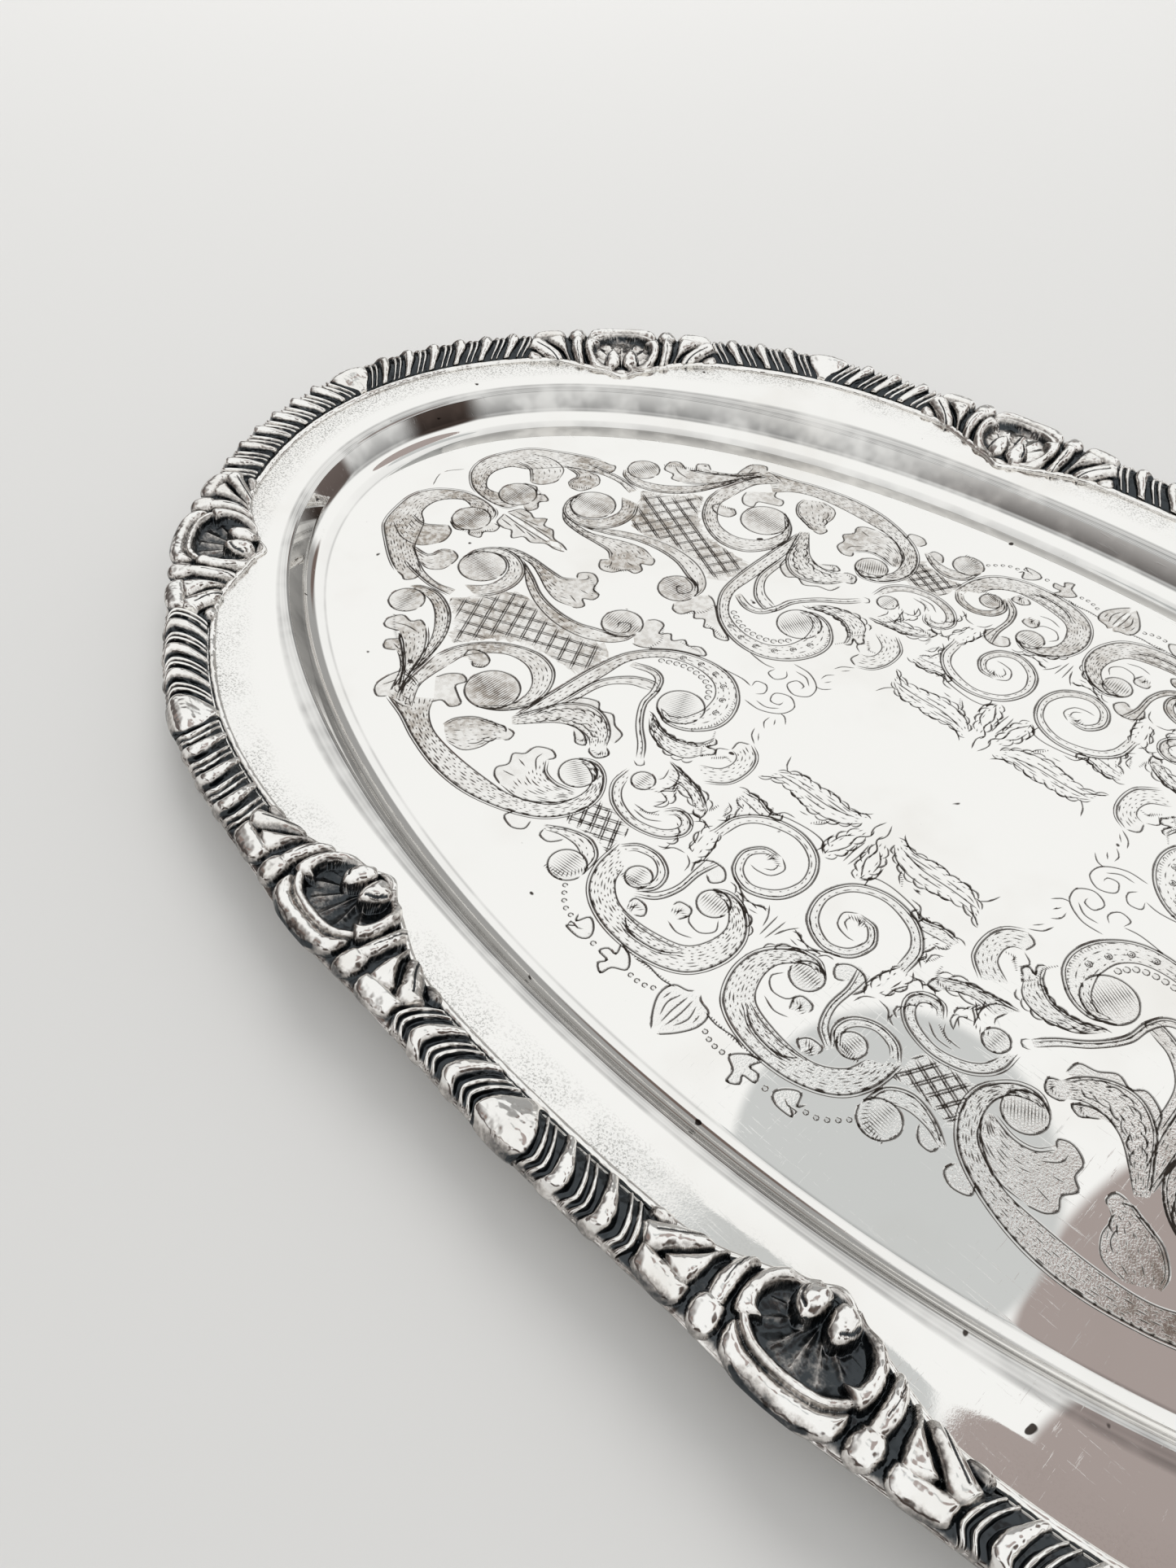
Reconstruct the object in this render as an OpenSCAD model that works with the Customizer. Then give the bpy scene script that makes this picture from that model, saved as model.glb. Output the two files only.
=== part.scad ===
// Oval silver salver: a pressed sheet tray with an applied border of eight shell mounts,
// eight plain knuckles, sixteen gadrooned lengths and a fine inner wire.
// Millimetres. +Z up, +X along the long axis, origin under the centre of the flat floor.

/* [Tray] */
// Length across the gadrooned border
tray_l = 427; // [400:1:480]
// Width across the gadrooned border
tray_w = 261; // [250:1:300]
// Fullness of the border's oval, where 2 is a true ellipse
fullness = 2.04; // [2:0.02:2.2]
// How far the oval swells out at its four shoulders
shoulder = 7.4; // [4:0.2:9]
// Thickness of the pressed sheet
sheet_t = 1.2; // [0.8:0.1:1.6]

/* [Flange and well] */
// Distance from the border's outer edge to the rim of the well, on the long and short axes
rim_in = 25.6; // [24:0.2:28]
// Height of the rim of the well
rim_z = 9.4; // [8.4:0.1:11]
// Height of the sheet's outer edge above the rim of the well
edge_rise = 2.7; // [2:0.1:3.5]
// Slope of the flange under the border, in degrees
seat_rise = 5; // [3:0.5:6]
// Radius where the wall of the well meets the floor
well_r = 7; // [5:0.5:8]
// Steepness of the wall of the well, in degrees
wall_rise = 60; // [50:1:66]
// Radius where the wall turns out into the flange
fold_r = 1.6; // [1.2:0.1:2.5]

/* [Border] */
// Width of the gadrooned border
border_w = 11; // [9:0.5:12]
// Height of the border above the sheet
crown_h = 4; // [3:0.1:5]
// How far the border hangs below the sheet's outer edge
lip_drop = 1.1; // [0.8:0.1:1.6]
// Length of a shell mount
shell_l = 55; // [50:1:58]
// Length of a plain knuckle
knuckle_l = 9; // [8:0.5:10]
// How far a shell mount reaches in over the flange, past the border
shell_reach = 6.5; // [4:0.5:7]
// How far a shell mount stands out past the border
shell_proud = 2.6; // [1:0.1:4]
// How far the gadroons lean towards the shells
gadroon_lean = 3.2; // [0:0.1:5]
// Width of the wire along the border's inner edge
wire_w = 1.5; // [1:0.1:1.8]
// Height of the wire above the flange
wire_h = 0.9; // [0.5:0.1:1.2]

/* [Layout] */
// Share of a quarter of the border, from the end of the long axis, at the first shell
shell_a_share = 0.321; // [0.31:0.001:0.33]
// Share of a quarter at the shoulder's knuckle
knuckle_b_share = 0.5565; // [0.55:0.0005:0.565]
// Share of a quarter at the second shell
shell_b_share = 0.792; // [0.785:0.001:0.8]

/* [Hidden] */

body_rings = 144;      // stations round the sheet
wire_rings = 256;      // stations round the wire
shell_rings = 24;      // stations along a shell mount
lobe_steps = 4;        // stations along one gadroon
rim_slope = 9;         // slope of the flange where it meets the rim of the well, in degrees
edge_in = 1.5;         // the sheet stops this far inside the border's outer edge
edge_gap = 0.1;        // solder gap between the sheet's edge and the border's lip
lip_round = 0.3;       // how far the border's lip is rounded off
seat_spare = 0.5;      // flat seat left clear inside the wire
well_fullness = 2.07;  // fullness of the well's oval
shoulder_at = 43;      // polar angle of the shoulders
shoulder_spread = 16;  // how wide the swelling at a shoulder is, in degrees
mid = border_w / 2;
seat_in = border_w + shell_reach + wire_w + seat_spare;

// Gadroons in the four runs of a quarter, from the end of the long axis to the short axis.
// Each run has a pair of reeds more than it has lobes, which is half a gadroon.
runs = [6.5, 3.5, 3.5, 2.5];

// Oval with semi-axes a and b, in polar form
function oval_r(ang, a, b, n) = pow(pow(abs(cos(ang)) / a, n) + pow(abs(sin(ang)) / b, n), -1 / n);

// Outline of the border's middle line: an oval that swells at its shoulders
function swelling(ang) = shoulder * exp(-pow((acos(abs(cos(ang))) - shoulder_at) / shoulder_spread, 2));
function mid_line(ang) =
    (oval_r(ang, tray_l / 2 - mid, tray_w / 2 - mid, fullness) + swelling(ang)) * [cos(ang), sin(ang)];

// Arc length against polar angle over one quarter of the middle line
arc_steps = 180;
arc_step = 90 / arc_steps;
chords = [for (i = [1:arc_steps]) norm(mid_line(i * arc_step) - mid_line((i - 1) * arc_step))];
arc_table = [for (i = 0, s = 0; i <= arc_steps; s = s + (i < arc_steps ? chords[i] : 0), i = i + 1)
    [s, i * arc_step]];
quarter = arc_table[arc_steps][0];
round_trip = 4 * quarter;

function angle_at(s) =
    let (q = floor(s / quarter), r = s - q * quarter)
    q % 2 == 0 ? q * 90 + lookup(r, arc_table) : (q + 1) * 90 - lookup(quarter - r, arc_table);

// Point at arc length s and at a distance d in from the border's outer edge
function at(s, d) =
    let (a = angle_at(s), t = mid_line(a + 0.1) - mid_line(a - 0.1), u = t / norm(t))
    mid_line(a) + (mid - d) * [u.y, -u.x];

// Height of the sheet's upper face under the border, falling inwards from its edge
edge_z = rim_z + edge_rise;
function seat_z(d) = edge_z - (d - edge_in) * tan(seat_rise);

// Centres along one quarter, and where each run of gadroons starts, ends and heads
shell_a = shell_a_share * quarter;
knuckle_b = knuckle_b_share * quarter;
shell_b = shell_b_share * quarter;
half_k = knuckle_l / 2;
half_s = shell_l / 2;
run_starts = [half_k, knuckle_b - half_k, knuckle_b + half_k, quarter - half_k];
run_ends = [shell_a - half_s, shell_a + half_s, shell_b - half_s, shell_b + half_s];

// A position in the first quarter, carried round to quarter q (0 to 3), mirrored as the oval is
function in_quarter(s, q) = q % 2 == 0 ? q * quarter + s : (q + 1) * quarter - s;
shell_at = [for (q = [0:3]) each [in_quarter(shell_a, q), in_quarter(shell_b, q)]];
knuckle_at = [for (q = [0:3]) each [q * quarter, in_quarter(knuckle_b, q)]];

// Swelling of the border where a shell sits, from 0 at its ends to 1 in its middle
function swell(u) = abs(u) < half_s ? pow((1 + cos(360 * u / shell_l)) / 2, 1.2) : 0;
function to_shell(s) = min([for (c = shell_at, k = [-1, 0, 1]) abs(s - c + k * round_trip)]);

// Closed skin over rings that have the same number of points, capped at both ends
module skin(rings) {
    n = len(rings[0]);
    last = len(rings) - 1;
    points = [for (r = rings) each r];
    sides = [for (i = [0:last - 1], k = [0:n - 1])
        [i * n + k, i * n + (k + 1) % n, (i + 1) * n + (k + 1) % n, (i + 1) * n + k]];
    first_cap = [for (k = [n - 1:-1:0]) k];
    last_cap = [for (k = [0:n - 1]) last * n + k];
    polyhedron(points = points, faces = concat([first_cap], sides, [last_cap]));
}

// Skin closed both ways, for a ring-shaped wire
module ring_skin(rings) {
    n = len(rings[0]);
    m = len(rings);
    points = [for (r = rings) each r];
    faces = [for (i = [0:m - 1], k = [0:n - 1])
        [i * n + k, i * n + (k + 1) % n,
        ((i + 1) % m) * n + (k + 1) % n, ((i + 1) % m) * n + k]];
    polyhedron(points = points, faces = faces);
}

// Wall of the well as [inwards from the rim of the well, height], from the floor's edge up:
// an arc out of the floor, a straight wall and an arc that folds out into the flange
fold_drop = fold_r * (cos(rim_slope) - cos(wall_rise));
wall_drop = rim_z - sheet_t - well_r * (1 - cos(wall_rise)) - fold_drop;
fold_run = fold_r * (sin(wall_rise) - sin(rim_slope));
floor_in = fold_run + wall_drop / tan(wall_rise) + well_r * sin(wall_rise);
wall = concat(
    [for (a = [0:wall_rise / 5:wall_rise + 0.01])
        [floor_in - well_r * sin(a), sheet_t + well_r * (1 - cos(a))]],
    [for (a = [wall_rise:(rim_slope - wall_rise) / 4:rim_slope - 0.01])
        [fold_r * (sin(a) - sin(rim_slope)), rim_z - fold_r * (cos(rim_slope) - cos(a))]]);

// Lower face of the wall: the upper face moved square to itself by the sheet's thickness
wall_last = len(wall) - 1;
wall_under = [for (k = [wall_last:-1:0])
    let (t = k == 0 ? [-1, 0] : wall[min(k + 1, wall_last)] - wall[k - 1], u = t / norm(t))
    wall[k] + sheet_t * [-u.y, u.x]];

// A point of the border, from arc length, distance in and height
function point(s, d, z) = let (p = at(s, d)) [p.x, p.y, z];
function flange_ring(d, z) = [for (i = [0:body_rings - 1]) point(i * round_trip / body_rings, d, z)];

// A ring of the well, at a distance in from its rim and on the same rays as the border's rings
function well_ring(p) = [for (i = [0:body_rings - 1])
    let (a = angle_at(i * round_trip / body_rings),
        r = oval_r(a, tray_l / 2 - rim_in - p.x, tray_w / 2 - rim_in - p.x, well_fullness))
    [r * cos(a), r * sin(a), p.y]];

// Section of a border piece: crown points from the inner toe (0 degrees) to the outer toe
// (180 degrees), then the lip that hangs over the edge of the sheet. relief scales the crown.
crown_angles = [for (a = [0:22.5:180]) a];
function section(s, d_in, d_out, relief) =
    let (c = (d_in + d_out) / 2, r = (d_in - d_out) / 2, lip = edge_in - edge_gap)
    concat(
        [for (a = crown_angles)
            let (d = c + r * cos(a)) point(s, d, seat_z(d) + crown_h * sin(a) * relief(a))],
        [point(s, d_out + lip_round, edge_z - lip_drop),
        point(s, lip, edge_z - lip_drop - lip_round),
        point(s, lip, edge_z)]);

module tray_body() {
    color("silver")
        skin(concat(
            [for (p = wall) well_ring(p)],
            [flange_ring(seat_in, seat_z(seat_in)), flange_ring(edge_in, edge_z),
            flange_ring(edge_in, edge_z - sheet_t), flange_ring(seat_in, seat_z(seat_in) - sheet_t)],
            [for (p = wall_under) well_ring(p)]));
}

// Half-round wire that follows the border's inner edge and bows in round the shells
module inner_wire() {
    arc = [for (a = [0:45:180]) [cos(a) * wire_w / 2, sin(a) * wire_h]];
    color("gainsboro")
        ring_skin([for (i = [wire_rings - 1:-1:0])
            let (s = i * round_trip / wire_rings,
                d = border_w + wire_w / 2 + edge_gap + shell_reach * swell(to_shell(s)))
            [for (p = arc) point(s, d + p.x, seat_z(d + p.x) + p.y)]]);
}

// Plain rounded knuckle that covers the meeting of two runs of gadroons
module knuckle(k) {
    centre = knuckle_at[k - 1];
    proud = 0.9;
    color("silver")
        skin([for (i = [0:8])
            let (u = i / 4 - 1, bulge = sqrt(1 - 0.9 * u * u))
            section(centre + u * half_k, border_w, -proud * bulge, function (a) 0.75 + 0.35 * bulge)]);
}

// Relief along one gadroon, from 0 to 1: a pair of low reeds, then one broad lobe
reeds = 0.45;
function gadroon(f) = f < reeds
    ? 0.62 + 0.14 * sin(f / reeds * 180)
    : 0.7 + 0.3 * sin((f - reeds) / (1 - reeds) * 180);

// A run of gadroons, built from its knuckle towards its shell
module gadroon_run(k) {
    q = floor((k - 1) / 4);
    j = (k - 1) % 4;
    steps = runs[j] * lobe_steps;
    start = in_quarter(run_starts[j], q);
    way = in_quarter(run_ends[j], q) - start;
    lean = gadroon_lean * runs[j] / abs(way);
    rings = [for (i = [0:steps])
        section(start + way * i / steps, border_w, 0,
            function (a) gadroon((i / lobe_steps + lean * (cos(a) - 1) / 2 + 4) % 1))];
    color("gray")
        skin(way > 0 ? rings : [for (i = [steps:-1:0]) rings[i]]);
}

// Shell mount: a hollow scallop between two ribbed scrolls that run out into leaves
module shell_mount(k) {
    centre = shell_at[k - 1];
    bowl_l = 9;
    rib_l = 7.5;
    color("silver")
        skin([for (i = [0:shell_rings])
            let (u = (i / shell_rings - 0.5) * shell_l, w = swell(u), bowl = exp(-pow(u / bowl_l, 4)))
            section(centre + u, border_w + shell_reach * w, -shell_proud * w,
                function (a) 0.85 + 0.2 * w - 0.5 * bowl * pow(sin(a), 2)
                    + (1 - bowl) * 0.1 * cos(360 * u / rib_l)
                    + bowl * (a > 130 ? 0.4 * sin((a - 130) * 3.6) : 0))]);
}

tray_body();
inner_wire();
for (k = [1:8]) shell_mount(k);
for (k = [1:8]) knuckle(k);
for (k = [1:16]) gadroon_run(k);
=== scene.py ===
"""Oval silver salver: a pressed sheet with a chased floor, and a cast and gadrooned border.

Lengths in this script are millimetres until a mesh is made, and every object is in metres.
+X runs along the salver's long axis, +Z is up, and the origin is under the middle of the floor.
"""
import math
import random

import bpy
import numpy as np
from mathutils import Matrix, Vector, geometry, kdtree


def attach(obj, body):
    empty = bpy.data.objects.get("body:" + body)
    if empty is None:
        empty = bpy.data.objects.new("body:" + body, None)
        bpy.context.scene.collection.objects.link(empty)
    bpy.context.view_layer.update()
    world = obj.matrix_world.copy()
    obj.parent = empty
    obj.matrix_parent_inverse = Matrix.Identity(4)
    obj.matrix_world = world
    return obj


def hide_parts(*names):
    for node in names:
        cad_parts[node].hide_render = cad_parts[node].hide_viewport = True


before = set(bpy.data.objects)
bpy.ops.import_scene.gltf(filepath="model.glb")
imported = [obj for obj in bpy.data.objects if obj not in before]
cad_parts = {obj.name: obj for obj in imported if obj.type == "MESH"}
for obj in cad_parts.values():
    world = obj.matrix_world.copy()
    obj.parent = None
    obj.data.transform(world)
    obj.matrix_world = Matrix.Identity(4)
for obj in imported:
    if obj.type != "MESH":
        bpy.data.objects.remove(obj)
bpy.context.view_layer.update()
MM = 0.001
RNG = np.random.default_rng(1847)

# ---------------------------------------------------------------- camera
CAM_AT = (73.6, -185.0, 196.7)
CAM_YAW, CAM_PITCH, CAM_ROLL = -44.18, 47.16, 1.76
CAM_LENS, SENSOR = 27.92, 36.0
CLIP_START = 0.01


def make_camera():
    yaw, pitch, roll = (math.radians(v) for v in (CAM_YAW, CAM_PITCH, CAM_ROLL))
    ahead = Vector((math.sin(yaw) * math.cos(pitch), math.cos(yaw) * math.cos(pitch),
                    -math.sin(pitch)))
    right = Vector((math.cos(yaw), -math.sin(yaw), 0))
    up = right.cross(ahead)
    across = right * math.cos(roll) + up * math.sin(roll)
    above = up * math.cos(roll) - right * math.sin(roll)
    data = bpy.data.cameras.new("camera")
    data.lens, data.sensor_width, data.clip_start = CAM_LENS, SENSOR, CLIP_START
    cam = bpy.data.objects.new("camera", data)
    bpy.context.scene.collection.objects.link(cam)
    turn = Matrix((across, above, -ahead)).transposed()
    cam.matrix_world = Matrix.Translation(Vector(CAM_AT) * MM) @ turn.to_4x4()
    bpy.context.scene.camera = cam


make_camera()

# ---------------------------------------------------------------- the oval, as in the CAD
TRAY_L, TRAY_W, FULLNESS = 427.0, 261.0, 2.04
SHOULDER, SHOULDER_AT, SHOULDER_SPREAD = 7.4, 43.0, 16.0
BORDER_W, EDGE_IN, SEAT_IN = 11.0, 1.5, 19.5
RIM_IN, RIM_Z, EDGE_Z, SEAT_RISE = 25.6, 9.4, 12.1, math.radians(5)
SHEET_T, WELL_R, WALL_RISE, FOLD_R = 1.2, 7.0, math.radians(60), 1.6
WELL_FULLNESS, RIM_SLOPE = 2.07, math.radians(9)
MID = BORDER_W / 2
SHELL_L, SHELL_REACH, SHELL_CURVE = 55.0, 6.5, 1.2
PEAK, PEAK_SPREAD = 2.2, 3.4
# Where a quarter's first shell, its knuckle and its second shell are, as shares of its length,
# and how many gadroons each of its four runs has
SHARES = (0.321, 0.5565, 0.792)
RUNS = (6.5, 3.5, 3.5, 2.5)
TURN = 0.003


def oval_r(a, sa, sb, n):
    return ((np.abs(np.cos(a)) / sa) ** n + (np.abs(np.sin(a)) / sb) ** n) ** (-1 / n)


def length_along(line):
    return np.concatenate([[0], np.cumsum(np.linalg.norm(np.diff(line, axis=0), axis=1))])


def mid_line(a):
    folded = np.degrees(np.arccos(np.clip(np.abs(np.cos(a)), 0, 1)))
    swell_out = SHOULDER * np.exp(-(((folded - SHOULDER_AT) / SHOULDER_SPREAD) ** 2))
    r = oval_r(a, TRAY_L / 2 - MID, TRAY_W / 2 - MID, FULLNESS) + swell_out
    return np.stack([r * np.cos(a), r * np.sin(a)], -1)


ARC_A = np.linspace(0, math.pi / 2, 1801)
ARC_S = length_along(mid_line(ARC_A))
QUARTER = ARC_S[-1]
ROUND_TRIP = 4 * QUARTER


def angle_at(s):
    q = np.floor(s / QUARTER)
    r = s - q * QUARTER
    rising = q * math.pi / 2 + np.interp(r, ARC_S, ARC_A)
    falling = (q + 1) * math.pi / 2 - np.interp(QUARTER - r, ARC_S, ARC_A)
    return np.where(q % 2 == 0, rising, falling)


def at(s, d):
    """Points at arc length s and distance d in from the border's outer edge."""
    s, d = np.broadcast_arrays(np.asarray(s, float), np.asarray(d, float))
    a = angle_at(s)
    t = mid_line(a + TURN) - mid_line(a - TURN)
    t /= np.linalg.norm(t, axis=-1, keepdims=True)
    return mid_line(a) + (MID - d)[..., None] * np.stack([t[..., 1], -t[..., 0]], -1)


def seat_z(d):
    return EDGE_Z - (np.asarray(d, float) - EDGE_IN) * math.tan(SEAT_RISE)


def in_quarter(s, q):
    """The place in quarter q that mirrors place s in the first quarter."""
    return q * QUARTER + s if q % 2 == 0 else (q + 1) * QUARTER - s


SHELL_A, KNUCKLE_B, SHELL_B = (share * QUARTER for share in SHARES)
SHELL_AT = [in_quarter(s, q) for q in range(4) for s in (SHELL_A, SHELL_B)]
KNUCKLE_AT = [s for q in range(4) for s in (q * QUARTER, in_quarter(KNUCKLE_B, q))]


def swell(u):
    """Swelling of the border at a shell, from 0 at its ends to 1 in its middle."""
    u = np.asarray(u, float)
    wave = (1 + np.cos(2 * math.pi * np.clip(u / SHELL_L, -0.5, 0.5))) / 2
    return wave ** SHELL_CURVE


def peak(u):
    """The small point at the middle of a shell's inner edge."""
    return PEAK * np.exp(-((np.asarray(u, float) / PEAK_SPREAD) ** 2))


def to_shell(s):
    """How far along the border the nearest shell's middle is."""
    s = np.asarray(s, float)[..., None]
    c = np.array(SHELL_AT)
    gap = np.abs(s - c) % ROUND_TRIP
    return np.minimum(gap, ROUND_TRIP - gap).min(-1)


def smooth(lo, hi, x):
    """A smooth step from 0 at lo to 1 at hi; lo may be the larger."""
    t = np.clip((np.asarray(x, float) - lo) / (hi - lo), 0, 1)
    return t * t * (3 - 2 * t)


# ---------------------------------------------------------------- mesh helpers
def mesh_from(name, verts, groups, flat=None, **attributes):
    """An object from millimetre vertices and groups of polygons, each an array of equal polygons.

    An attribute with one value a face goes on the faces, and any other on the vertices."""
    mesh = bpy.data.meshes.new(name)
    verts = np.asarray(verts, float).reshape(-1, 3) * MM
    groups = [np.asarray(g, np.int32) for g in groups]
    sizes = np.concatenate([np.full(len(g), g.shape[1], np.int32) for g in groups])
    loops = np.concatenate([g.ravel() for g in groups])
    mesh.vertices.add(len(verts))
    mesh.vertices.foreach_set("co", verts.astype(np.float32).ravel())
    mesh.loops.add(len(loops))
    mesh.loops.foreach_set("vertex_index", loops)
    mesh.polygons.add(len(sizes))
    starts = np.concatenate([[0], np.cumsum(sizes)[:-1]]).astype(np.int32)
    mesh.polygons.foreach_set("loop_start", starts)
    mesh.polygons.foreach_set("loop_total", sizes)
    smooth_faces = np.ones(len(sizes), bool) if flat is None else ~flat
    mesh.polygons.foreach_set("use_smooth", smooth_faces)
    mesh.update(calc_edges=True)
    for key, values in attributes.items():
        values = np.asarray(values, np.float32).ravel()
        layer = mesh.attributes.new(key, "FLOAT", "FACE" if len(values) == len(sizes) else "POINT")
        layer.data.foreach_set("value", values)
    mesh.validate()
    obj = bpy.data.objects.new(name, mesh)
    bpy.context.scene.collection.objects.link(obj)
    return obj


def ring_faces(m, n, closed):
    """Quads between m rings of n points each; each ring is closed."""
    i = np.arange(m if closed else m - 1)[:, None]
    k = np.arange(n)[None, :]
    nxt = (i + 1) % m
    q = np.stack([i * n + k, i * n + (k + 1) % n, nxt * n + (k + 1) % n, nxt * n + k], -1)
    return q.reshape(-1, 4)


def skin(name, rings, closed=False, **attributes):
    """A closed skin over rings of points, with flat caps at its two ends unless it is a loop."""
    m, n = rings.shape[:2]
    groups = [ring_faces(m, n, closed)[:, ::-1]]
    if not closed:
        groups.append([np.arange(n), ((m - 1) * n + np.arange(n))[::-1]])
    return mesh_from(name, rings, groups, **attributes)


def profile_normals(d, z):
    """Outward normals, in the plane of a section, of sections given by d (inwards) and z."""
    dd, dz = np.gradient(d, axis=-1), np.gradient(z, axis=-1)
    length = np.hypot(dd, dz) + 1e-9
    return dz / length, -dd / length


def settle(obj, replaced, material):
    obj.data.materials.append(material)
    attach(obj, "root")
    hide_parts(*replaced)
    return obj


# ---------------------------------------------------------------- materials
class Nodes:
    """Short forms for building the nodes of a new material or world."""

    def __init__(self, owner, shader="Principled BSDF"):
        self.owner = owner
        owner.use_nodes = True
        self.tree = owner.node_tree
        self.shader = self.tree.nodes[shader]

    def add(self, kind, inputs=None, **props):
        node = self.tree.nodes.new("ShaderNode" + kind)
        for key, value in props.items():
            setattr(node, key, value)
        for key, value in (inputs or {}).items():
            self.put(node.inputs[key], value)
        return node

    def put(self, socket, value):
        if isinstance(value, bpy.types.NodeSocket):
            self.tree.links.new(value, socket)
        else:
            socket.default_value = value

    def math(self, operation, a, b=0.0):
        return self.add("Math", {0: a, 1: b}, operation=operation).outputs[0]

    def times(self, a, b):
        return self.math("MULTIPLY", a, b)

    def plus(self, a, b):
        return self.math("ADD", a, b)

    def ramp(self, value, lo, hi, out_lo=0.0, out_hi=1.0):
        inputs = {"Value": value, "From Min": lo, "From Max": hi, "To Min": out_lo,
                  "To Max": out_hi}
        return self.add("MapRange", inputs, interpolation_type="SMOOTHSTEP").outputs[0]

    def mix(self, factor, a, b):
        return self.add("Mix", {0: factor, 6: a, 7: b}, data_type="RGBA").outputs[2]

    def where(self, scale=(1, 1, 1)):
        coords = self.add("TexCoord").outputs["Object"]
        return self.add("Mapping", {"Vector": coords, "Scale": scale}).outputs[0]

    def noise(self, scale, detail=3.0, rough=0.5, at=None):
        inputs = {"Vector": at or self.where(), "Scale": scale, "Detail": detail,
                  "Roughness": rough}
        return self.add("TexNoise", inputs).outputs["Fac"]

    def attribute(self, name):
        return self.add("Attribute", attribute_name=name).outputs["Fac"]

    def bump(self, height, distance, strength=1.0, normal=None):
        inputs = {"Height": height, "Distance": distance, "Strength": strength}
        if normal is not None:
            inputs["Normal"] = normal
        return self.add("Bump", inputs).outputs[0]


SILVER = (0.93, 0.915, 0.89, 1)
TARNISH = (0.62, 0.56, 0.49, 1)
OXIDE_AND_SHADE_COLOUR = (0.052, 0.058, 0.063, 1)
STAIN_AND_SHADE_BROWN = (0.47, 0.40, 0.35, 1)
GRAIN = (0.23, 0.225, 0.21, 1)
STREAK_AND_SHADE_GREY = (0.27, 0.265, 0.26, 1)
CHASED_BROWN = (0.36, 0.315, 0.27, 1)
CUT_BLACK = (0.045, 0.037, 0.031, 1)
SPECK = (0.06, 0.05, 0.045, 1)
# Depths of the bumps, in metres
HAIRLINE, PIT, MATTING = 0.000004, 0.00006, 0.00004
UNEVEN, CAST_GRAIN = 0.0013, 0.00002


def sheet_silver():
    """Polished plate with hairline scratches, a worn band on the flange and dulled chasing."""
    n = Nodes(bpy.data.materials.new("sheet_silver"))
    worn, groove, matted, streak = (n.attribute(k) for k in ("worn", "groove", "matted", "streak"))
    cloud, pits, patch = n.noise(22, 4, 0.6), n.noise(2100, 3, 0.65), n.noise(60, 3, 0.6)
    hair = n.noise(420, 4, 0.6, n.where((0.25, 5, 1)))
    hair_b = n.noise(420, 4, 0.6, n.where((5, 0.3, 1)))
    place = n.add("SeparateXYZ", {"Vector": n.where()})
    off_middle = n.math("ABSOLUTE", place.outputs["X"])
    # the band is patchy, and heaviest at one end
    heavy = n.ramp(place.outputs["X"], -0.19, -0.1, 0.85, 0)
    band = n.times(worn, n.math("MAXIMUM", n.ramp(patch, 0.42, 0.62, 0.12, 1), heavy))
    band = n.times(band, n.ramp(place.outputs["X"], 0.02, 0.06, 1, 0.1))
    grain = n.times(band, n.ramp(pits, 0.5, 0.6))
    # the chasing is browner towards the two ends, where it is less rubbed
    ends = n.ramp(off_middle, 0.05, 0.1, 0.05, 0.66)
    ends = n.math("MAXIMUM", ends, n.ramp(place.outputs["Y"], 0.03, 0.065, 0.0, 0.55))
    brown = n.times(ends, n.ramp(patch, 0.35, 0.65, 0.35, 1.25))
    brown = n.times(matted, brown)
    brown = n.times(brown, n.ramp(n.noise(620, 3, 0.65), 0.4, 0.6, 0.45, 1.15))
    colour = n.mix(n.ramp(cloud, 0.5, 0.78, 0.0, 0.2), SILVER, TARNISH)
    dark_end = n.ramp(place.outputs["X"], -0.17, -0.09, 0.78, 0.5)
    colour = n.mix(n.times(grain, dark_end), colour, GRAIN)
    # the streaks: real striations high on the wall, and a painted reflection and shade at its foot
    streak = n.times(streak, n.ramp(patch, 0.35, 0.6, 0.45, 1))
    colour = n.mix(streak, colour, STREAK_AND_SHADE_GREY)
    colour = n.mix(brown, colour, CHASED_BROWN)
    colour = n.mix(groove, colour, CUT_BLACK)
    colour = n.mix(n.ramp(n.noise(230, 1, 0.5), 0.785, 0.81), colour, SPECK)
    n.put(n.shader.inputs["Base Color"], colour)
    rough = n.ramp(cloud, 0.4, 0.75, 0.008, 0.035)
    rough = n.plus(rough, n.times(band, 0.06))
    rough = n.plus(rough, n.times(matted, 0.09))
    rough = n.plus(rough, n.times(groove, 0.3))
    n.put(n.shader.inputs["Roughness"], rough)
    n.shader.inputs["Metallic"].default_value = 1.0
    lines = n.plus(n.ramp(hair, 0.62, 0.72), n.ramp(hair_b, 0.64, 0.74))
    bump = n.bump(lines, HAIRLINE, 0.5)
    bump = n.bump(n.times(pits, band), PIT, 1.0, bump)
    bump = n.bump(n.times(n.noise(2600, 1, 0.5), matted), MATTING, 1.0, bump)
    n.put(n.shader.inputs["Normal"], bump)
    return n.owner


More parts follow.
